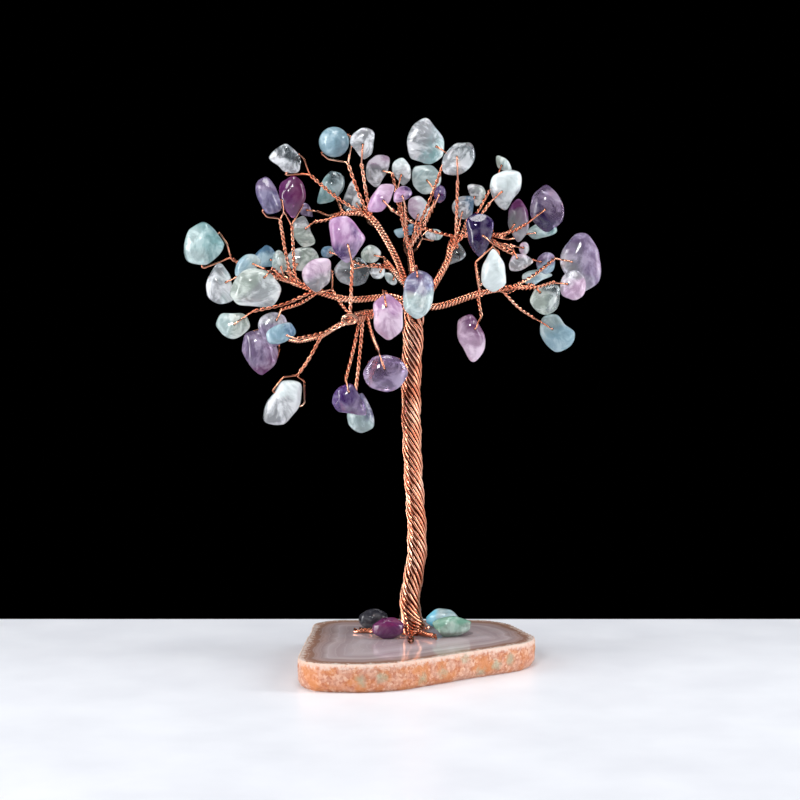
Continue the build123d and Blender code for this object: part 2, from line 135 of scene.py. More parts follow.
def seen_at(px, py, back_share):
    """The place seen at a pixel, behind the trunk by a share of the crown's half depth."""
    sight = ray(px, py)
    return eye + sight * ((back_share * crown_half_depth - eye.y) / sight.y)


def seen_at_height(px, py, height):
    """The place at a height that is seen at a pixel."""
    sight = ray(px, py)
    return eye + sight * ((height - eye.z) / sight.z)


camera = add_to_scene("camera", bpy.data.cameras.new("camera"))
camera.data.sensor_width = 36
camera.data.lens = camera.data.sensor_width * focal_px / frame_px
camera.data.clip_start = 10 * mm
camera.location = eye
camera.rotation_euler = (math.pi / 2 - look_down, 0, 0)
bpy.context.scene.camera = camera
print("camera at, in mm:", [round(c / mm, 1) for c in eye])

# %% [markdown]
# ## Where the chips and forks are
# The chips are listed by the fork that their twigs leave from. A row has the solid's name, the
# chip's pixel, how far back it lies, how many pixels away its edge is at even turns from the
# right through the top, its thickness as a share of its narrowest width, the direction of its
# twig, how far out its hole is, and where it isn't the usual, how far beyond the edge the twist
# ends and whether the hole goes across the twig.

# %% Chips
THROUGH, ACROSS = "through", "across"
chip_columns = "fork node px py back_share edge_px thick_share twig_angle hole_share knot_px hole"
Chip = namedtuple("Chip", chip_columns, defaults=[4, THROUGH])
chips_of_forks = {
    "right": [
        ("stone_31_white", 493, 272, -0.46, (13, 15, 23, 14, 12, 17, 20, 18), 0.80, 150, 0.30, 5, ACROSS),
        ("stone_34_rose_lilac", 472, 335, -0.14, (13, 12, 21, 20, 15, 15, 27, 19), 0.75, 63, 0.50),
    ],
    "right_tip": [
        ("stone_35_large_lilac", 582, 264, 0.06, (19, 22, 31, 23, 22, 20, 28, 24), 0.50, 168, 0.50),
        ("stone_36_pink", 574, 285, -0.38, (12, 13, 15, 14, 14, 16, 15, 13), 0.75, 172, 0.50, 5),
        ("stone_37_grey_green", 546, 299, -0.14, (14, 19, 15, 15, 16, 15, 16, 14), 0.66, 132, 0.60),
        ("stone_38_pale_blue", 557, 332, 0.12, (18, 12, 18, 21, 17, 16, 20, 19), 0.60, 148, 0.30),
        ("stones_clear_right", 534, 275, 0.52, (18, 8, 5, 6, 12, 12, 10, 8), 0.95, -145, 0.50),
    ],
    "upper": [
        ("stone_13_lilac", 381, 198, -0.36, (10, 19, 14, 9, 10, 19, 14, 9), 0.95, -48, 0.40),
        ("stone_17_clear", 457, 156, -0.22, (18, 19, 13, 11, 14, 21, 19, 17), 0.70, -88, 0.05),
        ("stones_pale_far_right", 503, 162, 0.40, (6, 4, 4, 9, 7, 8, 9, 12), 0.85, -112, 0.50),
        ("stone_19_white", 506, 188, 0.00, (15, 22, 18, 18, 16, 16, 22, 12), 0.68, -138, 0.35),
        ("stones_clear_upper", 464, 206, 0.14, (10, 13, 10, 10, 12, 13, 13, 12), 0.80, -105, 0.50),
        ("stones_clear_upper", 476, 193, 0.50, (10, 10, 9, 12, 7, 7, 13, 10), 0.85, -110, 0.50),
        ("stones_clear_upper", 457, 255, 0.36, (9, 9, 14, 8, 7, 14, 6, 6), 0.90, 88, 0.50),
    ],
    "upper_far": [
        ("stone_20_purple", 547, 208, 0.02, (17, 17, 23, 19, 17, 19, 24, 20), 0.55, -142, 0.15, 5),
        ("stones_lilac_right", 519, 219, 0.26, (10, 12, 20, 13, 11, 14, 23, 14), 0.80, -130, 0.50),
        ("stones_pale_far_right", 542, 232, 0.50, (15, 16, 9, 9, 15, 10, 6, 7), 0.95, -172, 0.50),
        ("stone_23_dark_purple", 481, 234, -0.28, (12, 18, 21, 21, 14, 16, 24, 12), 0.66, -38, 0.25),
        ("stones_clear_right", 519, 262, 0.08, (14, 10, 8, 10, 10, 13, 9, 9), 0.85, 115, 0.50),
        ("stones_lilac_right", 545, 263, 0.36, (10, 12, 11, 9, 9, 10, 11, 11), 0.85, 165, 0.50),
        ("stones_lilac_right", 524, 248, 0.16, (5, 6, 6, 5, 5, 6, 7, 6), 0.85, 170, 0.15),
    ],
    "middle": [
        ("stone_05_rose", 377, 170, 0.10, (11, 18, 15, 13, 11, 14, 17, 10), 0.70, -10, 0.60),
        ("stones_amethyst_small", 402, 194, -0.14, (10, 9, 8, 7, 8, 12, 8, 8), 0.85, -75, 0.30),
        ("stone_15_teal_grey", 427, 141, 0.05, (17, 15, 23, 20, 20, 23, 23, 21), 0.62, -30, 0.60),
        ("stone_16_ice", 423, 175, 0.34, (18, 14, 10, 12, 11, 14, 19, 20), 0.75, -52, 0.35),
        ("stones_amethyst_small", 440, 193, 0.00, (6, 7, 8, 6, 6, 7, 10, 7), 0.85, -115, 0.25),
        ("stones_white_middle", 420, 210, 0.56, (10, 10, 14, 15, 12, 10, 11, 9), 0.75, -110, 0.50),
        ("stones_blue_small", 406, 230, 0.80, (17, 9, 4, 4, 12, 11, 6, 6), 0.95, -100, 0.30, 5),
        ("stones_white_middle", 434, 234, 0.64, (9, 6, 5, 6, 9, 7, 6, 8), 0.95, -165, 0.30, 4, ACROSS),
        ("stones_white_middle", 402, 172, 0.24, (9, 10, 14, 12, 10, 9, 13, 11), 0.75, -105, 0.30),
    ],
    "top_left": [
        ("stone_02_clear", 286, 159, -0.10, (15, 11, 15, 14, 17, 11, 14, 18), 0.75, -33, 0.50, 8, ACROSS),
        ("stone_03_blue_bead", 334, 142, -0.05, (15,) * 10, 1.00, -56, 0.12, 7, ACROSS),
        ("stones_pale_top_left", 363, 143, -0.15, (11, 16, 15, 13, 13, 10, 16, 13), 0.62, -95, 0.10),
        ("stones_pale_top_left", 353, 198, 0.36, (9, 8, 17, 10, 10, 14, 15, 13), 0.75, -55, 0.50),
    ],
    "top_left_side": [
        ("stones_amethyst_small", 306, 210, 0.42, (5, 5, 7, 7, 6, 7, 6, 10), 0.85, -8, 0.20, 5),
        ("stones_pale_top_left", 303, 231, 0.20, (8, 9, 15, 14, 11, 11, 16, 17), 0.75, 40, 0.40),
        ("stone_10_aqua", 332, 189, 0.24, (12, 18, 18, 13, 12, 21, 13, 9), 0.75, -66, 0.50),
    ],
    "left": [
        ("stone_06_lavender", 267, 196, -0.10, (12, 13, 19, 16, 11, 10, 18, 20), 0.90, -60, 0.55, 5, ACROSS),
        ("stone_07_mauve", 293, 195, 0.12, (13, 15, 19, 17, 14, 15, 23, 13), 0.66, -93, 0.40, 5, ACROSS),
        ("stone_42_clear_green", 255, 288, -0.30, (26, 22, 20, 20, 25, 24, 19, 26), 0.60, 48, 0.65),
        ("stones_blue_left", 249, 262, -0.10, (12, 10, 8, 9, 12, 20, 8, 8), 0.85, -25, 0.50),
        ("stones_blue_left", 266, 257, 0.36, (10, 11, 12, 10, 12, 12, 10, 12), 0.80, -30, 0.50),
        ("stones_pale_green_left", 279, 262, 0.22, (8, 9, 12, 9, 7, 9, 12, 11), 0.80, -70, 0.50),
        ("stones_pale_green_left", 301, 259, 0.40, (18, 16, 12, 12, 16, 13, 12, 13), 0.75, -125, 0.50),
        ("stone_54_pale_green", 233, 325, -0.10, (17, 17, 12, 17, 17, 14, 14, 13), 0.66, 35, 0.10, 5),
        ("stone_55_lilac", 273, 329, -0.22, (15, 17, 17, 16, 15, 14, 18, 17), 0.48, 68, 0.60),
    ],
    "left_tip": [
        ("stone_01_teal", 204, 244, 0.00, (20, 18, 22, 21, 20, 24, 21, 18), 0.62, -27, 0.45, 9, ACROSS),
        ("stone_43_clear", 220, 285, 0.16, (13, 15, 22, 14, 14, 17, 19, 20), 0.68, 25, 0.50),
    ],
    "front_low": [
        ("stone_32_lavender", 419, 294, -0.62, (15, 21, 24, 20, 16, 20, 25, 17), 0.66, 95, 0.75),
        ("stone_33_pink", 388, 317, -0.36, (15, 19, 23, 21, 15, 18, 23, 19), 0.55, 100, 0.50),
    ],
    "front": [
        ("stone_12_amethyst", 346, 238, -0.36, (19, 16, 22, 24, 16, 18, 25, 17), 0.55, -76, 0.35),
        ("stone_48_rose_lilac", 317, 272, -0.12, (14, 18, 14, 13, 15, 16, 20, 16), 0.6, -50, 0.5, 5, ACROSS),
        ("stones_blue_small", 280, 333, -0.52, (16, 15, 9, 9, 14, 16, 10, 10), 0.80, -20, 0.60),
        ("stone_59_purple", 351, 400, -0.50, (11, 11, 17, 18, 19, 17, 14, 22), 0.66, 105, 0.50),
        ("stone_60_blue_clear", 361, 413, -0.18, (12, 12, 20, 13, 14, 17, 20, 19), 0.70, 105, 0.50),
        ("stone_61_purple_disc", 386, 373, -0.56, (22, 19, 18, 20, 23, 21, 19, 19), 0.50, 110, 0.25),
    ],
    "front_side": [
        ("stone_57_amethyst", 260, 350, 0.10, (18, 17, 20, 22, 18, 17, 25, 20), 0.58, 35, 0.35, 5, ACROSS),
        ("stone_58_white", 283, 402, -0.46, (19, 27, 22, 13, 17, 28, 23, 15), 0.85, 62, 0.20, 4, ACROSS),
    ],
    "back": [
        ("stones_clear_back", 379, 274, 0.88, (6, 8, 11, 10, 9, 7, 5, 5), 0.80, 58, 0.30),
        ("stones_clear_back", 370, 254, 0.70, (11, 9, 9, 8, 9, 10, 9, 10), 0.75, -15, 0.50),
        ("stone_50_clear_ring", 352, 269, 0.48, (18, 15, 12, 14, 18, 17, 17, 19), 0.55, 12, 0.10),
        ("stones_clear_back", 329, 252, 0.14, (6, 6, 6, 7, 8, 8, 6, 5), 0.85, -20, 0.20),
        ("stones_clear_back", 393, 281, 0.64, (4, 4, 8, 12, 6, 4, 4, 4), 0.95, 78, 0.20),
    ],
}
chips = [Chip(fork, *row) for fork, rows in chips_of_forks.items() for row in rows]
print("chips:", len(chips))

# %% [markdown]
# ## Which mineral each chip is
# The same chips in the same order, each with the mineral of its body, the mineral that it turns
# into, and the direction of that end on the chip's face, in degrees from the right. Fluorite and
# amethyst are often two-coloured like this, because the colour came and went as they grew.

# %% Minerals of the chips
looks_of_forks = {
    "right": [
        ("milk", "milk", -90), ("rose", "mauve", 60),
    ],
    "right_tip": [
        ("lilac", "mist", 200), ("rose", "mist", 120), ("sage", "smoke", 20), ("sky", "ice", 120),
        ("ice", "sky", -90),
    ],
    "upper": [
        ("orchid", "rose", 60), ("mist", "smoke", 50), ("sage", "ice", 0), ("milk", "mist", -100),
        ("mist", "steel", 45), ("mist", "sage", 0), ("smoke", "mist", -90),
    ],
    "upper_far": [
        ("dusk", "ink", -90), ("mauve", "mist", -80), ("ice", "teal", 0), ("ink", "ink", 120),
        ("mist", "rose", 90), ("lilac", "sky", -90), ("rose", "milk", 0),
    ],
    "middle": [
        ("mist", "rose", 100), ("orchid", "violet", 0), ("mist", "teal", -30), ("ice", "milk", 160),
        ("violet", "ink", 0), ("milk", "rose", 180), ("steel", "sky", 180), ("mist", "ice", 0),
        ("mist", "milk", 120),
    ],
    "top_left": [
        ("mist", "smoke", 60), ("sky", "sky", 0), ("mist", "mist", 90), ("mist", "smoke", -90),
    ],
    "top_left_side": [
        ("lilac", "lavender", 0), ("sage", "mist", 90), ("teal", "smoke", 45),
    ],
    "left": [
        ("lavender", "lilac", 70), ("mauve", "plum", 20), ("sage", "mist", -60), ("sky", "ice", -30),
        ("sky", "steel", 90), ("ice", "sage", 0), ("sage", "mist", 180), ("sage", "ice", 180),
        ("lilac", "mist", 90),
    ],
    "left_tip": [
        ("teal", "ice", 200), ("mist", "ice", 0),
    ],
    "front_low": [
        ("ice", "lavender", 90), ("rose", "orchid", 80),
    ],
    "front": [
        ("orchid", "violet", -80), ("rose", "mist", -60), ("sky", "steel", 0), ("violet", "lilac", -40),
        ("ice", "lavender", 60), ("dusk", "lilac", -60),
    ],
    "front_side": [
        ("lilac", "mauve", -60), ("mist", "milk", 60),
    ],
    "back": [
        ("mist", "milk", 0), ("sage", "milk", 0), ("smoke", "mist", 200), ("steel", "mist", 0),
        ("ice", "mist", 0),
    ],
}
looks = [look for rows in looks_of_forks.values() for look in rows]
print("looks:", len(looks))

# %% [markdown]
# ## Forks and limbs
# The wires part at forks, whose pixels and depths are read from the picture as the chips' are.
# A limb is a route from its seat on the trunk's top through its forks in turn. The seats are
# angles round the middle limb, because bundles of wire lie side by side where they part.

# %% Forks and limbs
Fork = namedtuple("Fork", "px py back_share")
forks = {
    "right": Fork(481, 293, -0.10),
    "right_tip": Fork(512, 287, -0.08),
    "upper": Fork(457, 237, 0.06),
    "upper_far": Fork(500, 235, 0.14),
    "middle": Fork(408, 243, 0.28),
    "top_left": Fork(368, 216, -0.02),
    "top_left_side": Fork(338, 214, 0.10),
    "left": Fork(292, 282, 0.08),
    "left_tip": Fork(262, 273, 0.16),
    "front_low": Fork(409, 306, -0.14),
    "front": Fork(350, 319, -0.32),
    "front_side": Fork(318, 338, -0.36),
    "back": Fork(386, 262, 0.50),
}
Limb = namedtuple("Limb", "node seat_angle route")
limbs = [
    Limb("limb_middle", None, [(413, 286, -0.01), (411, 262, 0.18), "middle"]),
    Limb("limb_right", -10, [(441, 306, -0.05), "right", "right_tip"]),
    Limb("limb_upper_right", 50, [(431, 290, 0.02), (447, 262, 0.04), "upper", "upper_far"]),
    Limb("limb_back", 110, [(408, 290, 0.22), "back"]),
    Limb("limb_top_left", 170, [(405, 282, 0.04), (391, 248, 0.00), "top_left", "top_left_side"]),
    Limb("limb_left", 230, [(392, 297, -0.05), (345, 299, 0.04), "left", "left_tip"]),
    Limb("limb_front_left", 290, ["front_low", (376, 313, -0.24), "front", "front_side"]),
]
print("forks:", len(forks), "limbs:", len(limbs))

# %% [markdown]
# ## Lines for wires
# A wire is a smooth line with a round section, so most of the work is to find its line. Two
# helpers do it: one draws a smooth line through a few points, and one carries a pair of side
# directions along a line without letting them spin, so that strands can be wound round it.

# %% Smooth lines and their side directions
def smooth_line(points, step):
    """Points about a step apart on a smooth line through the given ones."""
    points = [Vector(p) for p in points]
    ends = [points[0] * 2 - points[1], *points, points[-1] * 2 - points[-2]]
    line = []
    for before, a, b, after in zip(ends, ends[1:], ends[2:], ends[3:]):
        count = max(1, round((b - a).length / step))
        for i in range(count):
            t = i / count
            pull = (b - before) * (t * (1 - t) ** 2 / 2) - (after - a) * (t * t * (1 - t) / 2)
            line.append(a * (1 - t) ** 2 * (1 + 2 * t) + b * t * t * (3 - 2 * t) + pull)
    return line + [points[-1]]


def side_directions(line):
    """Two directions square to the line at each of its points, which turn no more than it does."""
    runs = [(b - a).normalized() for a, b in zip(line, line[1:])]
    runs.append(runs[-1])
    side = runs[0].orthogonal().normalized()
    pairs = []
    for run in runs:
        side = (side - run * side.dot(run)).normalized()
        pairs.append((side, run.cross(side)))
    return pairs


def between(first, second, angle):
    """The direction at an angle from the first towards the second."""
    return first * math.cos(angle) + second * math.sin(angle)


def lengths_along(line):
    """How far along the line each of its points is."""
    done = [0]
    for a, b in zip(line, line[1:]):
        done.append(done[-1] + (b - a).length)
    return done


def laid_strands(line, count, radius, pitch, end_angle=0):
    """Strands wound left-handed round a line, as many as asked for; the first ends at an angle."""
    pairs, along = side_directions(line), lengths_along(line)
    strands = []
    for strand in range(count):
        offset = end_angle + 2 * math.pi * strand / count
        points = []
        for at, (side, up), gone in zip(line, pairs, along):
            angle = offset + 2 * math.pi * (along[-1] - gone) / pitch
            points.append(at + between(side, up, angle) * radius)
        strands.append(points)
    return strands


# %% [markdown]
# ## From lines to wire
# A curve object with a round bevel turns a line into a tube. Wires of one thickness go into one
# curve object, which is made a mesh, and these meshes are merged, so that all the wires of a
# limb are a single piece.

# %% Tubes and finished pieces
def place_piece(mesh, material, name, body, replaced):
    """A finished piece at the origin, which rides on its body and stands for its solids."""
    mesh.materials.append(material)
    piece = add_to_scene(name, mesh)
    for face in mesh.polygons:
        face.use_smooth = True
    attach(piece, body)
    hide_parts(*replaced)


def mesh_from(bm, name):
    """A mesh with a bmesh's shape; the bmesh is used up."""
    mesh = bpy.data.meshes.new(name)
    bm.to_mesh(mesh)
    bm.free()
    return mesh


def applied_mesh(data, prepare=None):
    """The mesh that an object with this data gives once its modifiers have worked."""
    maker = add_to_scene("maker", data)
    if prepare:
        prepare(maker)
    bpy.context.view_layer.update()
    mesh = bpy.data.meshes.new_from_object(maker.evaluated_get(bpy.context.evaluated_depsgraph_get()))
    bpy.data.objects.remove(maker)
    return mesh


def wire_mesh(strands_by_radius):
    """One mesh of round wires, from lists of strands by the radius of their wire."""
    merged = bmesh.new()
    for radius, strands in strands_by_radius.items():
        curve = bpy.data.curves.new("wires", "CURVE")
        curve.dimensions = "3D"
        curve.bevel_depth = radius
        curve.bevel_resolution = 1
        curve.use_fill_caps = True
        for strand in strands:
            spline = curve.splines.new("POLY")
            spline.points.add(len(strand) - 1)
            for point, at in zip(spline.points, strand):
                point.co = (*at, 1)
        merged.from_mesh(applied_mesh(curve))
    return mesh_from(merged, "wires")


# %% [markdown]
# ## Materials: a helper for nodes
# Every finish below is a small graph of nodes on the Principled shader. This helper keeps each
# graph short to write: it adds a node, sets its values, and links what it is given.

# %% Node helper
class Graph:
    """A material's nodes, added by type and linked by socket name."""

    def __init__(self, name):
        self.material = bpy.data.materials.new(name)
        self.material.use_nodes = True
        self.nodes = self.material.node_tree.nodes
        self.links = self.material.node_tree.links
        self.nodes.clear()
        self.output = self.nodes.new("ShaderNodeOutputMaterial")
        self.shader = self.nodes.new("ShaderNodeBsdfPrincipled")
        self.links.new(self.shader.outputs[0], self.output.inputs["Surface"])

    def add(self, kind, inputs=None, **settings):
        node = self.nodes.new("ShaderNode" + kind)
        for key, value in settings.items():
            setattr(node, key, value)
        for key, value in (inputs or {}).items():
            self.feed(node.inputs[key], value)
        return node

    def feed(self, socket, value):
        if isinstance(value, bpy.types.NodeSocket):
            self.links.new(value, socket)
        else:
            socket.default_value = value

    def shade(self, **inputs):
        """Sets or links the shader's own sockets; underscores stand for spaces."""
        for key, value in inputs.items():
            self.feed(self.shader.inputs[key.replace("_", " ")], value)

    def vectors(self, operation, first, second, output="Vector"):
        """Maths on two vectors, whose answer is a vector, or a number from the Value output."""
        return self.add("VectorMath", {0: first, 1: second}, operation=operation).outputs[output]

    def places(self, centre=(0, 0, 0), size=1.0, turn=(0, 0, 0)):
        """Object coordinates about a centre, in units of a size."""
        shifted = self.vectors("SUBTRACT", self.add("TexCoord").outputs["Object"], centre)
        scale = (1 / size, 1 / size, 1 / size)
        return self.add("Mapping", {"Vector": shifted, "Rotation": turn, "Scale": scale}).outputs[0]

    def noise(self, where, scale, detail=3.0, distortion=0.0, roughness=0.5):
        inputs = {"Vector": where, "Scale": scale, "Detail": detail, "Distortion": distortion}
        return self.add("TexNoise", {**inputs, "Roughness": roughness}).outputs[0]

    def ramp(self, factor, *stops):
        """A colour ramp from (place, value or colour) stops."""
        node = self.add("ValToRGB", {"Fac": factor})
        elements = node.color_ramp.elements
        while len(elements) < len(stops):
            elements.new(0.5)
        for element, (place, value) in zip(elements, stops):
            element.position = place
            colour = (value, value, value) if isinstance(value, (int, float)) else value
            element.color = (*colour, 1)
        return node.outputs[0]

    def mix(self, factor, first, second):
        """A blend of two colours, from the first to the second."""
        node = self.add("Mix", data_type="RGBA")
        self.feed(node.inputs[0], factor)
        for index, value in ((6, first), (7, second)):
            colour = (*value, 1) if isinstance(value, tuple) else value
            self.feed(node.inputs[index], colour)
        return node.outputs[2]

    def maths(self, operation, first, second=0.0):
        return self.add("Math", {0: first, 1: second}, operation=operation).outputs[0]

    def plus(self, first, second):
        return self.maths("ADD", first, second)

    def times(self, first, second):
        return self.maths("MULTIPLY", first, second)

    def swing(self, noise_value, size):
        """A noise's swing to both sides of its middle, made larger or smaller."""
        return self.times(self.maths("SUBTRACT", noise_value, 0.5), size)

    def uprightness(self):
        """How far a surface faces up, 1 on a level top."""
        return self.add("SeparateXYZ", {0: self.add("NewGeometry").outputs["Normal"]}).outputs["Z"]

    def bump(self, height, distance, strength):
        node = self.add("Bump", {"Height": height, "Distance": distance, "Strength": strength})
        self.links.new(node.outputs[0], self.shader.inputs["Normal"])


def srgb(red, green, blue):
    """A colour as it looks on a screen, from 0 to 255, in the shader's own scale."""
    shares = [c / 255 for c in (red, green, blue)]
    return tuple(s / 12.92 if s <= 0.04045 else ((s + 0.055) / 1.055) ** 2.4 for s in shares)


# %% [markdown]
# ## Copper
# Bright copper wire is a metal with a rosy colour and a clear shine, so most of what is seen is
# the reflection of the lamps in it. A slow noise makes the wire redder and duller in places,
# where it has begun to tarnish. The hearts of the trunk and the limbs get the same metal painted
# dark, a painted shade for the little light that reaches in between the wires.

# %% Copper materials
def copper_material(name, dull, usual, bright, roughness):
    graph = Graph(name)
    tarnish = graph.noise(graph.places(size=mm), 0.22, detail=2)
    graph.shade(
        Base_Color=graph.ramp(tarnish, (0.3, dull), (0.5, usual), (0.72, bright)),
        Metallic=1.0,
        Roughness=graph.ramp(tarnish, (0.3, roughness * 1.3), (0.7, roughness)),
    )
    return graph.material


copper = copper_material(
    "copper wire", srgb(202, 122, 92), srgb(231, 162, 132), srgb(246, 196, 170), roughness=0.13
)
# Painted shade: the same copper made almost black, for the hearts that little light reaches
painted_shade_copper = copper_material(
    "shaded copper", srgb(40, 14, 10), srgb(56, 22, 15), srgb(72, 30, 21), roughness=0.5
)
print("copper materials:", copper.name, "and", painted_shade_copper.name)

# %% [markdown]
# ## The fold at each chip
# On the real tree one length of wire goes through the chip, is folded back, and its two halves
# are twisted together. Where the fold lies follows from the chip: its outline, turned so that the
# twig lies along the real axis of complex numbers, is cleared by a little, and each half of the
# wire is drawn tight round it, or over the shoulder of the chip's face, to its end of the hole.
# Round a chip that rocks, the wire clears the chip at both ends of its rocking too.

# %% Chip outlines
wire_radius = 0.2 * mm
snug_clearance = 0.27 * mm
rocking_clearance = 0.5 * mm
rocking_shoulder = 0.3 * mm
rocking_limit = 12
rocking = set(frame["bodies"])
print("chips that rock:", sum(chip.node in rocking for chip in chips))


def chip_place(chip):
    return seen_at(chip.px, chip.py, chip.back_share)


def chip_axes(chip):
    """The chip's own right, up and towards the viewer."""
    toward = (eye - chip_place(chip)).normalized()
    right = Vector((1, 0, 0))
    right = (right - toward * right.dot(toward)).normalized()
    return right, toward.cross(right), toward


def chip_scale(chip):
    """Metres to a pixel at the chip's distance."""
    return metres_per_px * (1 + chip.back_share * crown_half_depth / eye_distance)


def chip_half_thickness(chip):
    opposite = len(chip.edge_px) // 2
    narrowest = min(a + b for a, b in zip(chip.edge_px, chip.edge_px[opposite:]))
    return narrowest * chip_scale(chip) / 2 * chip.thick_share


def chip_outline(chip, angle=0):
    """The outline's corners as complex numbers, turned back by an angle in degrees."""
    scale, turn = chip_scale(chip), 360 / len(chip.edge_px)
    return [cmath.rect(r * scale, math.radians(turn * i - angle)) for i, r in enumerate(chip.edge_px)]


def crossings(outline, along):
    """Where an outline crosses the line square to the real axis at a distance along it."""
    found = []
    for a, b in zip(outline, outline[1:] + outline[:1]):
        if (a.real - along) * (b.real - along) < 0:
            found.append(a.imag + (b.imag - a.imag) * (along - a.real) / (b.real - a.real))
    return found


def reach_of(outline):
    """How far an outline reaches along the real axis."""
    return max(crossings([complex(c.imag, c.real) for c in outline], 0))


def rocked_outline(outline, hole_along, angle):
    """An outline turned by an angle in degrees about a hole on the real axis."""
    return [hole_along + (c - hole_along) * cmath.rect(1, math.radians(angle)) for c in outline]


# %% Legs of the fold
def taut_leg(knot, end, corners):
    """The bends of a wire drawn tight from the knot round the corners to the end of the hole."""
    bends, at = [], knot
    while at != end:
        here = at
        ahead = [c for c in corners if end.real + 2 * wire_radius < c.real < here.real] + [end]
        at = max(ahead, key=lambda c: (c.imag - here.imag) / (here.real - c.real))
        bends.append(at)
    return bends


def legs_over_faces(knot_reach, reach, thick, hole_along):
    """The bends of a leg over a face's shoulder to the hole: how far along the twig, and how far off it."""
    touch, hole = math.asin(reach / knot_reach), math.asin(hole_along / reach)
    bend, out = (touch + hole) / 2, 1 / math.cos((touch - hole) / 2)
    over_shoulder = (reach * out * math.sin(bend), thick * out * math.cos(bend))
    return [over_shoulder, (hole_along, thick * math.cos(hole))]


def loop_points(chip):
    """The folded wire: its knot, and the points of both legs from there to the ends of the hole."""
    centre, (right, up, toward) = chip_place(chip), chip_axes(chip)
    angle = math.radians(chip.twig_angle)
    along, across = between(right, up, angle), between(up, -right, angle)
    outline, thick = chip_outline(chip, chip.twig_angle), chip_half_thickness(chip)
    rocks = chip.node in rocking
    clearance = rocking_clearance if rocks else snug_clearance
    shoulder = rocking_shoulder if rocks else 0
    reach = reach_of(outline)
    hole_along = reach * chip.hole_share
    if rocks and chip.hole == THROUGH:
        turns = (-rocking_limit, 0, rocking_limit)
        reach = max(reach_of(rocked_outline(outline, hole_along, turn)) for turn in turns)
    knot = complex(reach + clearance + chip.knot_px * chip_scale(chip), 0)
    legs = []
    for side in (1, -1):
        if chip.hole == THROUGH:
            off = thick + clearance + shoulder
            bends = legs_over_faces(knot.real, reach + clearance, off, hole_along)
            legs.append([centre + along * x + toward * (side * y) for x, y in bends])
        else:
            cleared = [c * (1 + (clearance + shoulder / 2) / abs(c)) for c in outline]
            cleared = [complex(c.real, side * c.imag) for c in cleared]
            outermost = max(side * y for y in crossings(outline, hole_along))
            bends = taut_leg(knot, complex(hole_along, outermost + clearance), cleared)
            legs.append([centre + along * at.real + across * (side * at.imag) for at in bends])
    return centre + along * knot.real, *legs


# %% [markdown]
# ## Routes of the twigs
# Twigs of one fork leave one after another, which is what makes a fork look gathered and not
# like the spokes of a wheel. Each wire is one unbroken line: along one strand of the twist, round
# the chip and through its hole, and back along the other strand. No two twigs are twisted alike.

# %% Twigs and their folded wires
twig_diameter = 0.8 * mm
limb_diameter = 1.5 * mm
limb_gap = 0.05 * mm
wire_step = 0.2 * mm
corner_radius = 0.45 * mm
corner_share = 0.45
twig_sag_share = 0.05
twig_looseness = 1.15
twig_pitches_mm = (2.2, 3.1)
fork_spread_share = 0.8
limb_stub_share = 0.8
twist_draws = random.Random(11)

trunk_route_px = [(410, 598), (417, 545), (413, 470), (411, 392), (414, 312)]
trunk_step = 0.4 * mm
trunk_line = smooth_line([foot] + [seen_at(px, py, 0) for px, py in trunk_route_px], trunk_step)
trunk_top = trunk_line[-1]
limb_ring_radius = limb_diameter + limb_gap
print("trunk's line in mm:", round(lengths_along(trunk_line)[-1] / mm, 1))


def outwards(angle):
    """The level direction at an angle in radians from the viewer's right."""
    return Vector((math.cos(angle), math.sin(angle), 0))


def limb_route(limb):
    """The limb's points from its seat on the trunk's top, with the index of each fork on it."""
    seat = Vector(trunk_top)
    if limb.seat_angle is not None:
        seat += outwards(math.radians(limb.seat_angle)) * limb_ring_radius
    points = [seat, seat + Vector((0, 0, limb_diameter * limb_stub_share))]
    points += [seen_at(*forks[stop]) if stop in forks else seen_at(*stop) for stop in limb.route]
    return points, {stop: i + 2 for i, stop in enumerate(limb.route) if stop in forks}


def twig_start(chip):
    """The place on the limb, just before its fork, where this chip's twig leaves it."""
    limb = next(limb for limb in limbs if chip.fork in limb.route)
    points, at_fork = limb_route(limb)
    fork, before = points[at_fork[chip.fork]], points[at_fork[chip.fork] - 1]
    peers = [other for other in chips if other.fork == chip.fork]
    spacing = min(twig_diameter, (before - fork).length * fork_spread_share / len(peers))
    return fork + (before - fork).normalized() * (spacing * peers.index(chip))


def rounded_corners(points, radius, steps=4):
    """The same run of points with each corner drawn round."""
    line = [points[0]]
    for before, at, after in zip(points, points[1:], points[2:]):
        reach_in = min(radius, (at - before).length * corner_share)
        reach_out = min(radius, (after - at).length * corner_share)
        start = at + (before - at).normalized() * reach_in
        stop = at + (after - at).normalized() * reach_out
        for i in range(steps + 1):
            t = i / steps
            line.append(start * (1 - t) ** 2 + at * (2 * t * (1 - t)) + stop * t * t)
    return line + [points[-1]]


def folded_wire(chip):
    """The whole wire of one twig, from the fork round the chip and back."""
    knot, first, second = loop_points(chip)
    start = twig_start(chip)
    bend = (start + knot) / 2 - Vector((0, 0, (knot - start).length * twig_sag_share))
    line = smooth_line([start, bend, knot], wire_step)
    side, up = side_directions(line)[-1]
    apart = first[-1] - second[-1]
    end_angle = math.atan2(apart.dot(up), apart.dot(side))
    pitch = twist_draws.uniform(*twig_pitches_mm) * mm
    going, coming = laid_strands(line, 2, wire_radius * twig_looseness, pitch, end_angle)
    fold = rounded_corners([going[-1], *first, *reversed(second), coming[-1]], corner_radius)
    return going[:-1] + fold + list(reversed(coming[:-1]))
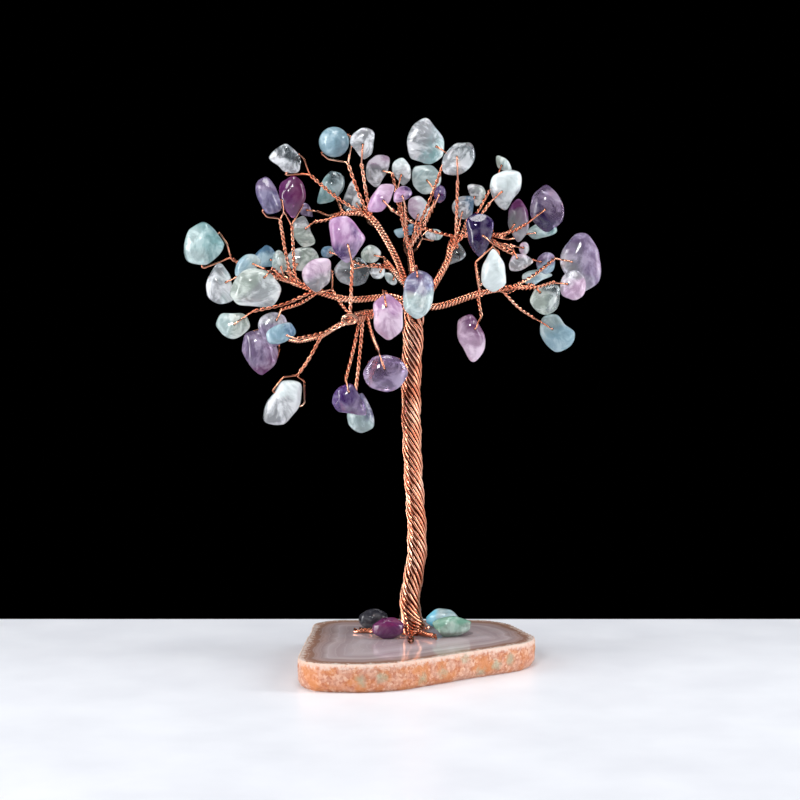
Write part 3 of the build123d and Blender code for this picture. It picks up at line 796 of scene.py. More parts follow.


# %% [markdown]
# ## Limbs
# Below its first fork a limb is a rope of four strands, left-handed like the trunk, and it gets
# thinner each time that twigs leave it. The strands lie a little apart over a heart painted dark
# as shade, so that the lines between them can be seen from far away. At the front fork one more
# wire is wound round the limb, and another lies over the fork in a few open turns.

# %% Ropes of the limbs
strand_radius = 0.25 * mm
Stage = namedtuple("Stage", "count circle pitch")
stages = [Stage(4, 0.56 * mm, 3.0 * mm), Stage(3, 0.42 * mm, 2.5 * mm), Stage(3, 0.36 * mm, 2.3 * mm)]


def limb_line(limb):
    """The limb's smooth line, and which of its points is nearest to each fork."""
    points, at_fork = limb_route(limb)
    line = smooth_line(points, wire_step)
    nearest = {}
    for fork, index in at_fork.items():
        nearest[fork] = min(range(len(line)), key=lambda i: (line[i] - points[index]).length)
    return line, nearest


def limb_ropes(limb):
    """The strands of a limb, and the lines of its heart, stage by stage."""
    line, at_fork = limb_line(limb)
    strands, hearts, done = [], [], 0
    for stage, reached in zip(stages, at_fork.values()):
        run = line[done : reached + 1]
        strands += laid_strands(run, stage.count, stage.circle, stage.pitch)
        hearts.append(run)
        done = reached
    return strands, hearts


# %% Binding at the front fork
binding_step = 0.05 * mm
binding_points_back = range(26, 5, -4)
coil_pitch = 0.62 * mm
ring_steps = 50
ring_step_angle = 20
ring_width_mm, ring_height_mm = 1.1, 0.75
ring_growth = 0.012
ring_stand_off = 1.0 * mm


def binding(limb, fork):
    """Two wires at a fork: one wound tightly round the limb below it, one in open turns over it."""
    line, at_fork = limb_line(limb)
    bound = smooth_line([line[at_fork[fork] - back] for back in binding_points_back], binding_step)
    coil = laid_strands(bound, 1, limb_diameter / 2 + wire_radius, coil_pitch)[0]
    place = seen_at(*forks[fork])
    toward = (eye - place).normalized()
    right = toward.cross(Vector((0, 0, -1))).normalized()
    up = toward.cross(right)
    ring = []
    for step in range(ring_steps):
        angle = math.radians(ring_step_angle * step)
        spread = 1 + ring_growth * step
        spot = right * math.cos(angle) * ring_width_mm + up * math.sin(angle) * ring_height_mm
        ring.append(place + toward * ring_stand_off + spot * spread * mm)
    return [coil, ring]


# %% Wires of the limbs
for limb in limbs:
    twigs = [folded_wire(chip) for chip in chips if chip.fork in limb.route]
    bindings = binding(limb, "front") if "front" in limb.route else []
    strands, hearts = limb_ropes(limb)
    # The limb's heart, painted dark as the shade between its strands
    heart = wire_mesh({strand_radius: hearts})
    place_piece(heart, painted_shade_copper, f"heart_{limb.node}", "tree", [limb.node])
    mesh = wire_mesh({wire_radius: twigs + bindings, strand_radius: strands})
    place_piece(mesh, copper, f"wires_{limb.node}", "tree", [limb.node])
    print(limb.node, "twigs", len(twigs), "faces", len(mesh.polygons))

# %% [markdown]
# ## The trunk
# The trunk is every limb's wires laid together. Thirteen of them show on its outside, and they
# stand a little proud in three places round it, which gives its edge slow waves. A lobed bar with
# a twist would do from far away, but the eye reads the separate wires and the dark lines between
# them, so each wire is its own tube over a heart painted dark as shade. At the top each wire runs
# into the nearest limb. At the foot the lay tightens, and the trunk flares and bulges to its right.

# %% Trunk wires
trunk_radius = 4.3 * mm / 2
trunk_wire_radius = 0.32 * mm
trunk_heart_radius = trunk_radius - 2.3 * trunk_wire_radius
trunk_heart_every = 4
trunk_wire_count = 13
trunk_pitch = 20 * mm
foot_pitch = 8.5 * mm
foot_length = 9 * mm
foot_bulge = 0.8 * mm
bulge_height = 2.2 * mm
bulge_length = 1.5 * mm
trunk_flare_share = 0.14
proud_places = 3
proud_height = 0.12 * mm
wander = 0.1 * mm
wander_length = 4 * mm
sway_angle = 0.06
sway_length = 6 * mm
gather_length = 4 * mm
draws = random.Random(7)


def ease(share):
    """A share from 0 to 1 that starts and ends gently."""
    share = min(1, max(0, share))
    return share * share * (3 - 2 * share)


def trunk_wire(top_turn, seat_angle, seed):
    """One wire down the outside of the trunk, from the foot of its limb."""
    along = lengths_along(trunk_line)
    whole = along[-1]
    turn, last_gone, points = top_turn, whole, []
    for at, gone in reversed(list(zip(trunk_line, along))):
        pitch = foot_pitch + (trunk_pitch - foot_pitch) * ease(gone / foot_length)
        turn += 2 * math.pi * (last_gone - gone) / pitch
        last_gone = gone
        angle = turn + sway_angle * noise.noise(Vector((gone / sway_length, seed, 5)))
        swell = 1 + trunk_flare_share * (2 * gone / whole - 1) ** 2
        drift = noise.noise(Vector((gone / wander_length, seed, 0)))
        bulge = foot_bulge * math.exp(-((gone - bulge_height) / bulge_length) ** 2)
        radius = trunk_radius * swell - trunk_wire_radius
        radius += proud_height * math.cos(proud_places * top_turn) + wander * drift
        radius += bulge * max(0, math.cos(angle))
        seat = outwards(seat_angle) * limb_ring_radius
        ring = outwards(angle) * (limb_diameter / 2 - trunk_wire_radius)
        gather = ease(1 - (whole - gone) / gather_length)
        points.append(at + (outwards(angle) * radius).lerp(seat + ring, gather))
    return points


seats = [math.radians(limb.seat_angle) for limb in limbs[1:]]
trunk_strands = []
for wire in range(trunk_wire_count):
    turn = 2 * math.pi * wire / trunk_wire_count
    nearest_seat = max(seats, key=lambda seat: math.cos(seat - turn))
    trunk_strands.append(trunk_wire(turn, nearest_seat, draws.uniform(0, 50)))
# The trunk's heart, painted dark as the shade between its wires
heart = wire_mesh({trunk_heart_radius: [trunk_line[::trunk_heart_every]]})
place_piece(heart, painted_shade_copper, "trunk_heart", "tree", ["trunk"])
print("trunk wires:", len(trunk_strands))

# %% [markdown]
# ## Roots
# The ends of the wires are bent outwards in four bundles and held down by the resin. Each strand
# of a root winds round the bundle's bend, and they fan out and end unevenly, as cut wire does.

# %% Root wires
root_tips_px = {"front": (410, 645), "right": (438, 640), "left": (354, 633), "back": (427, 630)}
root_radius = 1.3 * mm / 2
root_knee_share = 1.4
root_start_share = 0.6
root_start_height = 2.4 * root_radius
strands_per_root = 4
root_strand_radius = 0.31 * mm
root_pitch = 3.2 * mm
root_fan = 0.6 * mm
root_unevenness = 6


def root_strands(tip_px, seed):
    """The strands of one root, from beside the trunk's foot down to its tip on the slice."""
    lift = Vector((0, 0, root_radius))
    tip = seen_at_height(*tip_px, slab_top) + lift
    out = Vector((tip.x, tip.y, 0)).normalized()
    start = foot + out * (trunk_radius * root_start_share) + Vector((0, 0, root_start_height))
    knee = foot + out * (trunk_radius * root_knee_share) + lift
    line = smooth_line([start, knee, (knee + tip) / 2, tip], wire_step)
    side = Vector((-out.y, out.x, 0))
    root_draws = random.Random(seed)
    wound = laid_strands(line, strands_per_root, root_radius - root_strand_radius, root_pitch)
    strands = []
    for i, strand in enumerate(wound):
        kept = strand[: len(strand) - root_draws.randint(0, root_unevenness)]
        spread = (i / (strands_per_root - 1) - 0.5) * root_fan
        fanned = []
        for j, at in enumerate(kept):
            share = j / len(line)
            at = at + side * (spread * share * share)
            at.z = max(at.z, slab_top + root_strand_radius)
            fanned.append(at)
        strands.append(fanned)
    return strands


roots = [strand for i, px in enumerate(root_tips_px.values()) for strand in root_strands(px, i)]
mesh = wire_mesh({trunk_wire_radius: trunk_strands, root_strand_radius: roots})
place_piece(mesh, copper, "wires_trunk", "tree", ["trunk"])
print("trunk and roots, faces:", len(mesh.polygons))

# %% [markdown]
# ## Minerals
# The chips are fluorite, quartz and amethyst. Polished stone like this is part glass and part
# milk: light goes in, some of it straight through and some scattered by veils and fractures.
# So a mineral is a colour, a share that is clear, and how much of it is veiled. Each chip turns
# from one of them into another, with milky veils that hide the glass and darker depths between.

# %% Palette
Mineral = namedtuple("Mineral", "colour clear veil")
minerals = {
    "ice": Mineral(srgb(214, 234, 234), 0.62, 0.6),
    "teal": Mineral(srgb(166, 208, 210), 0.62, 0.5),
    "sky": Mineral(srgb(160, 194, 208), 0.5, 0.35),
    "steel": Mineral(srgb(104, 144, 174), 0.6, 0.25),
    "mist": Mineral(srgb(230, 233, 238), 0.8, 0.65),
    "milk": Mineral(srgb(226, 236, 237), 0.35, 0.4),
    "sage": Mineral(srgb(210, 222, 214), 0.68, 0.6),
    "dusk": Mineral(srgb(188, 164, 202), 0.9, 0.3),
    "smoke": Mineral(srgb(168, 180, 186), 0.95, 0.3),
    "rose": Mineral(srgb(222, 192, 218), 0.55, 0.55),
    "orchid": Mineral(srgb(210, 166, 210), 0.5, 0.5),
    "lilac": Mineral(srgb(178, 158, 196), 0.75, 0.45),
    "lavender": Mineral(srgb(144, 136, 178), 0.7, 0.35),
    "mauve": Mineral(srgb(126, 62, 122), 0.6, 0.14),
    "violet": Mineral(srgb(98, 60, 138), 0.7, 0.3),
    "ink": Mineral(srgb(58, 40, 96), 0.6, 0.25),
    "plum": Mineral(srgb(138, 60, 118), 0.6, 0.1),
    "coal": Mineral(srgb(58, 58, 66), 0.3, 0.15),
    "lagoon": Mineral(srgb(120, 206, 232), 0.3, 0.4),
    "jade": Mineral(srgb(140, 188, 168), 0.45, 0.4),
}
print("minerals:", len(minerals))

# %% Stone material
pale_veil = 0.92
deep_share = 0.5


def stone_material(name, body, end, toward, centre, length, seed):
    """Polished stone that turns from one mineral to another in a direction."""
    graph = Graph(name)
    body, end = minerals[body], minerals[end]
    where = graph.places(centre, length)
    shifted = graph.places(centre + Vector((seed, seed, 0)) * mm, length)
    slow = graph.noise(shifted, 1.6, detail=2, distortion=0.6)
    along = graph.vectors("DOT_PRODUCT", where, tuple(toward), "Value")
    reach = graph.plus(along, graph.swing(slow, 1.2))
    share = graph.ramp(graph.plus(reach, 0.5), (0.45, 0.0), (0.7, 1.0))
    colour = graph.mix(share, body.colour, end.colour)
    growth = random.Random(seed)
    turned = graph.places(centre, length, turn=[growth.uniform(0, math.pi) for axis in range(3)])
    stretched = graph.vectors("MULTIPLY", turned, (1.0, 1.9, 1.9))
    cloud = graph.noise(stretched, 1.5, detail=5, distortion=0.5, roughness=0.62)
    cloudy = graph.times(graph.ramp(cloud, (0.46, 0.0), (0.6, 1.0)), body.veil)
    deep = graph.times(graph.ramp(cloud, (0.3, 1.0), (0.44, 0.0)), deep_share)
    colour = graph.mix(deep, colour, tuple(c * 0.5 for c in body.colour))
    colour = graph.mix(cloudy, colour, tuple(c + (pale_veil - c) * 0.6 for c in body.colour))
    clear = graph.mix(share, (body.clear,) * 3, (end.clear,) * 3)
    graph.shade(
        Base_Color=colour,
        Roughness=0.03,
        IOR=1.5,
        Transmission_Weight=graph.times(clear, graph.maths("SUBTRACT", 1.0, cloudy)),
        Subsurface_Weight=0.6,
        Subsurface_Radius=(1.0, 1.0, 1.0),
        Subsurface_Scale=0.35 * mm,
    )
    graph.bump(graph.noise(where, 2.6), 0.15 * mm, 0.35)
    return graph.material


# %% [markdown]
# ## Tumbled chips
# A chip starts as a loft through its outline, drawn in towards both faces like the solid that it
# stands for. Remeshed at an even grain, it can be worked like the real one: flats are ground on
# at odd angles, tumbling, here a few rounds of smoothing, takes off the edges, and last the hole
# is drilled. Smoothing shrinks a small stone more than a large one, so each is brought back to
# its measured size along its own axes. One chip is a round bead, which needs only its hole.

# %% Blanks
grain = 0.3 * mm
tumbling_rounds = 5
profile_shares = ((-1.0, 0.5), (-0.8, 0.76), (-0.42, 0.98), (0.42, 0.98), (0.8, 0.76), (1.0, 0.5))
profile_lean_share = 0.06
corner_softness = 0.36


def drawn_round(corners, steps=4):
    """A closed soft curve through the corners of an outline."""
    curve = []
    for i, here in enumerate(corners):
        before, after, beyond = (corners[(i + step) % len(corners)] for step in (-1, 1, 2))
        leave = (after - before) * corner_softness
        arrive = (beyond - here) * corner_softness
        for step in range(steps):
            t = step / steps
            curve.append(
                here * (2 * t**3 - 3 * t**2 + 1) + leave * (t**3 - 2 * t**2 + t)
                + after * (3 * t**2 - 2 * t**3) + arrive * (t**3 - t**2)
            )
    return curve


def lofted(rings):
    """A closed shape through rings of as many points."""
    bm = bmesh.new()
    loops = []
    for ring in rings:
        verts = [bm.verts.new(point) for point in ring]
        loops.append([bm.edges.new(pair) for pair in zip(verts, verts[1:] + verts[:1])])
        if ring in (rings[0], rings[-1]):
            bm.faces.new(verts)
    for low, high in zip(loops, loops[1:]):
        bmesh.ops.bridge_loops(bm, edges=low + high)
    bmesh.ops.recalc_face_normals(bm, faces=bm.faces)
    return bm


def remeshed(bm, size):
    """The same closed shape as even quads; the first shape is used up."""

    def prepare(maker):
        remesh = maker.modifiers.new("grain", "REMESH")
        remesh.mode = "VOXEL"
        remesh.voxel_size = size

    even = bmesh.new()
    even.from_mesh(applied_mesh(mesh_from(bm, "rough"), prepare))
    return even


def chip_blank(chip):
    """The chip's rough shape, from its outline and profile."""
    centre, (right, up, toward) = chip_place(chip), chip_axes(chip)
    outline, thick = chip_outline(chip), chip_half_thickness(chip)
    lean = profile_lean_share * sum(abs(corner) for corner in outline) / len(outline)
    outline = drawn_round(outline)
    rings = []
    for along, size in profile_shares:
        middle = centre + toward * (thick * along) + (right - up) * (lean * along)
        rings.append([middle + right * (c.real * size) + up * (c.imag * size) for c in outline])
    return lofted(rings)


# %% Working a chip
flat_tilts = (15, 60)
flat_depths = (0.78, 0.93)
ground_share = 0.92
dent_length = 3.2 * mm
dent_depth = 0.3 * mm
bit_sides = 16
bit_overrun = 4 * mm


def grind(bm, centre, axes, seed, flats):
    """Grinds flats at odd angles on both faces of a chip, and leaves it slightly dented."""
    chip_draws = random.Random(seed)
    right, up, toward = axes
    for i in range(flats):
        spin = chip_draws.uniform(0, 2 * math.pi)
        tilt = math.radians(chip_draws.uniform(*flat_tilts))
        face = toward if i % 2 else -toward
        normal = between(face, between(right, up, spin), tilt)
        cut = max((v.co - centre).dot(normal) for v in bm.verts) * chip_draws.uniform(*flat_depths)
        for vert in bm.verts:
            over = (vert.co - centre).dot(normal) - cut
            if over > 0:
                vert.co -= normal * over * ground_share
    for vert in bm.verts:
        rough = noise.noise((vert.co - centre) / dent_length + Vector((seed, 0, 0)))
        vert.co += (vert.co - centre).normalized() * (rough * dent_depth)


def reaches(bm, centre, axis):
    """How far a shape reaches from a centre, both ways along an axis."""
    offs = [(vert.co - centre).dot(axis) for vert in bm.verts]
    return min(offs), max(offs)


def tumble(bm, centre, axes, rounds, wanted_reaches):
    """Smooths a shape and brings it back to a size along its axes."""
    for i in range(rounds):
        bmesh.ops.smooth_vert(
            bm, verts=bm.verts, factor=0.5, use_axis_x=True, use_axis_y=True, use_axis_z=True
        )
    for axis, (low, high) in zip(axes, wanted_reaches):
        new_low, new_high = reaches(bm, centre, axis)
        for vert in bm.verts:
            off = (vert.co - centre).dot(axis)
            wanted = low + (off - new_low) * (high - low) / (new_high - new_low)
            vert.co += axis * (wanted - off)


def drilled(bm, start, stop, radius):
    """The shape as a mesh with a round hole from one point to another, and past both."""
    bit = bmesh.new()
    bmesh.ops.create_cone(bit, cap_ends=True, segments=bit_sides, radius1=radius, radius2=radius, depth=1)
    turn = (stop - start).to_track_quat("Z", "Y")
    for vert in bit.verts:
        vert.co.z *= (stop - start).length + bit_overrun
        vert.co = turn @ vert.co + (start + stop) / 2
    bit_maker = add_to_scene("bit", mesh_from(bit, "bit"))

    def prepare(maker):
        cut = maker.modifiers.new("hole", "BOOLEAN")
        cut.operation = "DIFFERENCE"
        cut.solver = "EXACT"
        cut.object = bit_maker

    holed = applied_mesh(mesh_from(bm, "blank"), prepare)
    bpy.data.objects.remove(bit_maker)
    return holed


# %% Make the chips
bore_radius = 0.3 * mm
bead_subdivisions = 5
sharp_angle = math.radians(40)


def ball(centre, radius):
    """A round bead without its hole."""
    bm = bmesh.new()
    matrix = Matrix.Translation(centre)
    bmesh.ops.create_icosphere(bm, subdivisions=bead_subdivisions, radius=radius, matrix=matrix)
    return bm


def worked_chip(chip, seed):
    """A chip from its blank, ground and tumbled to its measured size."""
    bm = remeshed(chip_blank(chip), grain)
    outline, thick = chip_outline(chip), chip_half_thickness(chip)
    wide, tall = [c.real for c in outline], [c.imag for c in outline]
    grind(bm, chip_place(chip), chip_axes(chip), seed, flats=6)
    size = ((min(wide), max(wide)), (min(tall), max(tall)), (-thick, thick))
    tumble(bm, chip_place(chip), chip_axes(chip), tumbling_rounds, size)
    return bm


face_count = 0
for number, (chip, (body, end, toward)) in enumerate(zip(chips, looks), 1):
    place, (right, up) = chip_place(chip), chip_axes(chip)[:2]
    if chip.thick_share == 1:
        bm = ball(place, chip.edge_px[0] * chip_scale(chip))
    else:
        bm = worked_chip(chip, number)
    knot, first, second = loop_points(chip)
    mesh = drilled(bm, first[-1], second[-1], bore_radius)
    mesh.materials.clear()
    end_side = between(right, up, math.radians(toward))
    length = 2 * max(chip.edge_px) * chip_scale(chip)
    stone = stone_material(f"chip {number}", body, end, end_side, place, length, number)
    rides_on = chip.node if chip.node in rocking else "tree"
    place_piece(mesh, stone, f"chip_{number:02d}_{body}", rides_on, [chip.node])
    mesh.set_sharp_from_angle(angle=sharp_angle)
    face_count += len(mesh.polygons)
print("chips worked:", len(chips), "faces:", face_count)

# %% [markdown]
# ## The chips on the slice
# Four loose chips lie in the resin. They start from copies of their solids and are worked in the
# same way, but they sit flat, so they are worked along upright axes, and they have no hole.

# %% Base chips
base_looks = {
    "base_obsidian": ("coal", "coal", (1, 0, 0)),
    "base_amethyst": ("plum", "mauve", (0.3, -0.4, -0.8)),
    "base_turquoise": ("lagoon", "ice", (0.4, 0, 0.8)),
    "base_green_fluorite": ("jade", "sage", (0, -0.3, -0.9)),
}
base_seed = 80
upright_axes = (Vector((1, 0, 0)), Vector((0, 1, 0)), Vector((0, 0, 1)))
same_place = 0.001 * mm
for number, (node, (body, end, toward)) in enumerate(base_looks.items()):
    low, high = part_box(node)
    centre, halves = (low + high) / 2, (high - low) / 2
    solid = bmesh.new()
    solid.from_mesh(frame["nodes"][node].data)
    bmesh.ops.remove_doubles(solid, verts=solid.verts, dist=same_place)
    bm = remeshed(solid, grain)
    grind(bm, centre, upright_axes, base_seed + number, flats=5)
    tumble(bm, centre, upright_axes, tumbling_rounds, [(-half, half) for half in halves])
    for vert in bm.verts:
        vert.co.z = max(vert.co.z, slab_top)
    length = 2 * max(halves)
    stone = stone_material(f"{node} finish", body, end, Vector(toward), centre, length, number)
    place_piece(mesh_from(bm, node), stone, f"worked_{node}", "tree", [node])
print("loose chips:", len(base_looks))

# %% [markdown]
# ## The agate slice
# The slice was sawn from a nodule and polished on top. Its outline keeps the nodule's soft
# waves, and its side is the nodule's own skin: grainy, salmon and cream, with grey-green spots.
# Just inside the edge runs a thin line of white crystals, then brown bands, then grey lilac.
# The distance from the edge is kept on the mesh as an attribute, and the bands are drawn by it.

# %% Slice shape
slab_width = 53 * mm
slab_depth = 53 * mm
slab_corner_radius = 6 * mm
corner_cut_share = 1.15
slab_corner_shares = [(-0.47, -0.62), (-0.42, 0.33), (0.40, 0.33), (0.55, -0.15), (-0.11, -0.66)]
rind_grain = 0.55 * mm
too_short = 0.01 * mm

bm = bmesh.new()
corners = [bm.verts.new((slab_width * x, slab_depth * y, 0)) for x, y in slab_corner_shares]
bm.faces.new(corners)
bmesh.ops.bevel(
    bm, geom=list(bm.verts), offset=slab_corner_radius * corner_cut_share, offset_type="OFFSET",
    segments=10, profile=0.5, affect="VERTICES", material=-1,
)
lifted = bmesh.ops.extrude_face_region(bm, geom=list(bm.faces))
top_verts = [v for v in lifted["geom"] if isinstance(v, bmesh.types.BMVert)]
bmesh.ops.translate(bm, vec=(0, 0, slab_top), verts=top_verts)
bmesh.ops.recalc_face_normals(bm, faces=bm.faces)
outline = [v.co.copy() for v in bm.verts if v.co.z < slab_top / 2]
middle = sum(outline, Vector()) / len(outline)
outline.sort(key=lambda v: math.atan2(v.y - middle.y, v.x - middle.x))
sawn = remeshed(bm, rind_grain)
print("slice outline points:", len(outline), "grid faces:", len(sawn.faces))


def edge_distance(place):
    """How far inside the slice's outline a place is."""
    nearest = math.inf
    for a, b in zip(outline, outline[1:] + outline[:1]):
        run = Vector((b.x - a.x, b.y - a.y))
        if run.length < too_short:
            continue
        off = Vector((place.x - a.x, place.y - a.y))
        share = min(1, max(0, off.dot(run) / run.length_squared))
        nearest = min(nearest, (off - run * share).length)
    return nearest


# %% Slice surface
lower_round = 2.0 * mm
lower_tuck_share = 0.55
upper_round = 0.5 * mm
upper_tuck_share = 0.5
wave_length = 11 * mm
wave_depth = 0.5 * mm
pit_length = 0.9 * mm
fine_pit_length = 0.45 * mm
fine_pit_share = 0.6
rind_depth = 0.32 * mm
smooth_below_top = 0.8 * mm


def worn_in(place, inside):
    """How far wear, waves and pits draw the slice's side in at a place."""
    below_top = slab_top - place.z
    low = max(0, 1 - place.z / lower_round)
    high = max(0, 1 - below_top / upper_round)
    tuck = lower_round * lower_tuck_share * low * low + upper_round * upper_tuck_share * high * high
    waves = noise.noise(place / wave_length) * 0.5 + 0.5
    pits = noise.noise(place / pit_length) + fine_pit_share * noise.noise(place / fine_pit_length)
    fade = 1 - ease(1 - below_top / smooth_below_top)
    depth = tuck + waves * wave_depth + rind_depth * (pits * 0.5 + 0.5) * fade
    return (1 - inside / lower_round) * depth


edge = sawn.verts.layers.float.new("edge")
for vert in sawn.verts:
    inside = edge_distance(vert.co)
    vert[edge] = inside / mm
    on_top = vert.co.z > slab_top - rind_grain / 2
    if inside < lower_round:
        out = Vector((vert.co.x - middle.x, vert.co.y - middle.y, 0)).normalized()
        vert.co -= out * worn_in(vert.co, inside)
    if on_top:
        vert.co.z = slab_top
slab_mesh = mesh_from(sawn, "slice")
print("slice faces:", len(slab_mesh.polygons))

# %% Slice material
rind_spots_px = [
    (361, 681), (383, 678), (424, 680), (444, 674), (467, 657), (483, 673), (497, 666), (511, 660),
]
side_steps = 30
band_reach_mm = 24.0
bands_inwards = [
    (0.0, (186, 140, 116)),
    (0.06, (166, 122, 100)),
    (0.13, (150, 116, 102)),
    (0.18, (176, 152, 148)),
    (0.22, (160, 138, 136)),
    (0.28, (190, 174, 174)),
    (0.36, (172, 154, 156)),
    (0.5, (192, 178, 180)),
    (0.7, (172, 154, 158)),
    (1.0, (188, 172, 174)),
]


def on_rind(px, py):
    """The place on the slice's side that is seen at a pixel."""
    heights = [slab_top * step / side_steps for step in range(side_steps + 1)]
    return min((seen_at_height(px, py, height) for height in heights), key=edge_distance)


def band_colour(graph, where, inside):
    """Brown and lilac bands that follow the outline, with fine pale lines among them."""
    drift = graph.noise(where, 0.09, detail=4, distortion=0.5)
    wandering = graph.plus(inside, graph.swing(drift, 5.0))
    stops = [(place, srgb(*colour)) for place, colour in bands_inwards]
    bands = graph.ramp(graph.maths("DIVIDE", wandering, band_reach_mm), *stops)
    lines = graph.maths("SINE", graph.times(wandering, 4.0))
    return graph.mix(graph.ramp(lines, (0.8, 0.0), (1.0, 0.2)), bands, srgb(214, 202, 202))


def skin_colour(graph, where):
    """The grainy rind: salmon with cream and orange patches and grey-green spots."""
    grains = graph.add("TexVoronoi", {"Vector": where, "Scale": 1.9, "Randomness": 1.0})
    tone = graph.noise(grains.outputs["Color"], 3.0, detail=0)
    rust, salmon, peach = srgb(182, 104, 68), srgb(204, 138, 104), srgb(222, 178, 150)
    skin = graph.ramp(tone, (0.3, rust), (0.5, salmon), (0.7, peach))
    patches = graph.noise(where, 0.3, detail=4)
    skin = graph.mix(graph.ramp(patches, (0.48, 0.0), (0.62, 0.4)), skin, srgb(212, 176, 158))
    skin = graph.mix(graph.ramp(patches, (0.38, 0.8), (0.52, 0.0)), skin, srgb(206, 130, 72))
    ragged = graph.swing(graph.noise(where, 0.9), 0.7)
    for px, py in rind_spots_px:
        off = graph.vectors("DISTANCE", where, on_rind(px, py) / mm, "Value")
        near = graph.plus(graph.times(off, 0.25), ragged)
        skin = graph.mix(graph.ramp(near, (0.12, 0.6), (0.42, 0.0)), skin, srgb(156, 172, 146))
    return skin


def agate_material():
    """Polished bands above and rind at the side, with pale crystals where they meet."""
    graph = Graph("agate")
    where = graph.places(size=mm)
    inside = graph.add("Attribute", attribute_name="edge").outputs["Fac"]
    height = graph.add("SeparateXYZ", {0: where}).outputs["Z"]
    teeth = graph.maths("SUBTRACT", graph.noise(where, 1.1, detail=4, roughness=0.7), 0.5)
    inner_edge = graph.plus(graph.times(inside, 0.2), graph.times(teeth, 1.5))
    crystals = graph.ramp(inner_edge, (0.2, 0.85), (0.34, 0.0))
    top = graph.mix(crystals, band_colour(graph, where, inside), srgb(224, 208, 198))
    from_top = graph.times(graph.maths("SUBTRACT", slab_top / mm, height), 0.4)
    rim = graph.ramp(graph.plus(from_top, graph.times(teeth, 1.6)), (0.14, 0.7), (0.5, 0.0))
    side = graph.mix(rim, skin_colour(graph, where), srgb(222, 202, 190))
    polished = graph.ramp(graph.uprightness(), (0.82, 0.0), (0.95, 1.0))
    graph.shade(
        Base_Color=graph.mix(polished, side, top),
        Roughness=graph.ramp(polished, (0.0, 0.42), (1.0, 0.08)),
        IOR=1.54,
        Subsurface_Weight=0.35,
        Subsurface_Radius=(1.0, 0.8, 0.7),
        Subsurface_Scale=1.2 * mm,
    )
    fine = graph.noise(where, 3.0, detail=4)
    graph.bump(graph.mix(polished, fine, (0.5, 0.5, 0.5)), 0.25 * mm, 0.8)
    return graph.material


place_piece(slab_mesh, agate_material(), "polished_slice", "tree", ["agate_slab"])
print("spots on the rind:", len(rind_spots_px))

# %% [markdown]
# ## The resin
# The foot is set in a puddle of clear resin. It runs out in uneven lobes, is fullest near the
# middle, and creeps up what stands in it. A disc of fine rings is shaped by one height rule.

# %% Resin puddle
resin_width = 27 * mm
resin_depth = 15 * mm
resin_thickness = 0.6 * mm
fullness = 0.85
ripple_length = 2 * mm
ripple_height = 0.05 * mm
thinnest = 0.01 * mm
creep = 0.9 * mm
creep_reach = 0.8 * mm
chip_foot_share = 0.75
lobe_share = 0.07
resin_rings = 34
ring_width = 1 / 36
resin_low, resin_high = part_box("resin_puddle")
resin_middle = (resin_low + resin_high) / 2
standing = [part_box(node) for node in base_looks]


def resin_height(place, share):
    """The resin's height: full in the middle, thin at the edge, and drawn up at what stands in it."""
    level = resin_thickness * math.sqrt(max(0, 1 - share ** 4)) * fullness
    level += ripple_height * noise.noise(place / ripple_length)
    climb = math.exp(-max(0, math.hypot(place.x, place.y) - trunk_radius) / creep_reach)
    for low, high in standing:
        centre, half = (low + high) / 2, (high - low) / 2
        off = math.hypot((place.x - centre.x) / half.x, (place.y - centre.y) / half.y)
        gap = max(0, off - chip_foot_share) * min(half.x, half.y)
        climb = max(climb, math.exp(-gap / creep_reach))
    return level + creep * climb * max(0, 1 - share ** 6)


bm = bmesh.new()
bmesh.ops.create_circle(bm, cap_ends=True, segments=96, radius=1)
for ring in range(resin_rings):
    cap = [face for face in bm.faces if len(face.verts) > 4]
    bmesh.ops.inset_region(bm, faces=cap, thickness=ring_width, depth=0)
for vert in bm.verts:
    share = min(1, vert.co.length)
    turn = math.atan2(vert.co.y, vert.co.x)
    wavy = noise.noise(Vector((math.cos(turn), math.sin(turn), 3)) * 1.7)
    lobes = 1 - lobe_share + lobe_share * wavy
    place = resin_middle + Vector((vert.co.x * resin_width / 2, vert.co.y * resin_depth / 2, 0)) * lobes
    vert.co = Vector((place.x, place.y, slab_top + max(thinnest, resin_height(place, share))))
bmesh.ops.recalc_face_normals(bm, faces=bm.faces)
resin_mesh = mesh_from(bm, "resin")


def resin_material():
    """Clear glossy resin with a faint milky tint, painted paler and more opaque where it is steep, as a
    painted sheen on its rising edges.
    """
    graph = Graph("clear resin")
    graph.shade(
        Base_Color=(*srgb(206, 194, 198), 1),
        Roughness=0.03,
        IOR=1.5,
        Coat_Weight=1.0,
        # Painted sheen: steep resin is made more opaque, so its pale tint and shine show more there
        Alpha=graph.ramp(graph.uprightness(), (0.7, 0.6), (0.97, 0.24)),
    )
    graph.bump(graph.noise(graph.places(size=mm), 0.5, detail=2), 0.3 * mm, 0.25)
    return graph.material


place_piece(resin_mesh, resin_material(), "resin", "tree", ["resin_puddle"])
print("resin faces:", len(resin_mesh.polygons))

# %% [markdown]
# ## Floor, backdrop and light
# The tree stands on a plain pale table top with nothing behind it, so that the clear stones
# stand out. Two tall soft boxes stand at the sides, a little to the front, and draw bright edges
# on the trunk and the stones. A box above and one far in front fill the rest. The world gives a
# faint light to dull surfaces only, so what is polished mirrors the boxes and the dark.

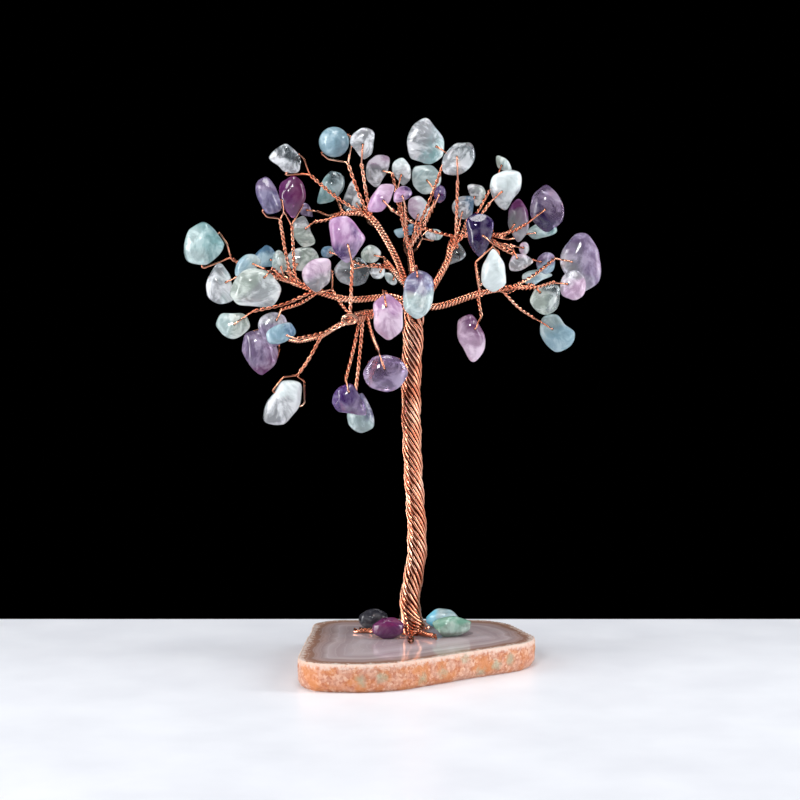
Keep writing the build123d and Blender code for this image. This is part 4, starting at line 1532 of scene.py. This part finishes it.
# %% Stage
table_back = 52 * mm
table_reach = 600 * mm
table_thickness = 12 * mm
table_edge = 1.5 * mm
bm = bmesh.new()
bmesh.ops.create_cube(bm, size=1)
for vert in bm.verts:
    vert.co.x *= 2 * table_reach
    vert.co.y = table_back if vert.co.y > 0 else -table_reach
    vert.co.z = 0 if vert.co.z > 0 else -table_thickness
bmesh.ops.bevel(
    bm, geom=list(bm.edges), offset=table_edge, segments=3, profile=0.5, affect="EDGES", material=-1
)
graph = Graph("pale table")
pale = graph.noise(graph.places(size=10 * mm), 0.5)
table_colour = graph.ramp(pale, (0.3, srgb(226, 228, 234)), (0.7, srgb(236, 238, 243)))
graph.shade(Base_Color=table_colour, Roughness=0.35)
table_mesh = mesh_from(bm, "table")
table_mesh.materials.append(graph.material)
table = add_to_scene("table", table_mesh)
table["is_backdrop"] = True
print("table faces:", len(table_mesh.polygons))

# %% Light
def soft_box(name, place, width, height, power):
    """An area lamp that faces the crown."""
    lamp = bpy.data.lights.new(name, "AREA")
    lamp.shape = "RECTANGLE"
    lamp.size = width
    lamp.size_y = height
    lamp.energy = power
    box = add_to_scene(name, lamp)
    box.location = place
    box.rotation_euler = (crown - Vector(place)).to_track_quat("-Z", "Y").to_euler()


crown = Vector((0, 0, 70 * mm))
soft_box("left box", (-0.33, -0.12, 0.16), 0.10, 0.34, 1.15)
soft_box("right box", (0.33, -0.06, 0.16), 0.10, 0.34, 1.15)
soft_box("top box", (0.0, -0.06, 0.42), 0.14, 0.14, 0.6)
soft_box("front box", (-0.224, -0.77, 0.434), 0.14, 0.14, 3.0)
print("lamps:", len(bpy.data.lights))

# %% World
world = bpy.data.worlds.new("studio")
bpy.context.scene.world = world
world.use_nodes = True
sky = world.node_tree
sky.nodes.clear()


def background(colour, strength):
    """A plain light of the world."""
    node = sky.nodes.new("ShaderNodeBackground")
    node.inputs["Color"].default_value = (*colour, 1)
    node.inputs["Strength"].default_value = strength
    return node


path = sky.nodes.new("ShaderNodeLightPath")
chosen = sky.nodes.new("ShaderNodeMixShader")
output = sky.nodes.new("ShaderNodeOutputWorld")
dark, faint = background((0, 0, 0), 1.0), background((0.9, 0.93, 1.0), 0.3)
sky.links.new(path.outputs["Is Diffuse Ray"], chosen.inputs[0])
sky.links.new(dark.outputs[0], chosen.inputs[1])
sky.links.new(faint.outputs[0], chosen.inputs[2])
sky.links.new(chosen.outputs[0], output.inputs["Surface"])
print("world nodes:", len(sky.nodes))

# %% View settings, sizes and finish
bpy.context.scene.view_settings.view_transform = "Standard"
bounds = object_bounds()
for label, (low, high) in (("solids", cad_box), ("visual", bounds)):
    print(label, [round(c / mm, 2) for c in low], [round(c / mm, 2) for c in high])
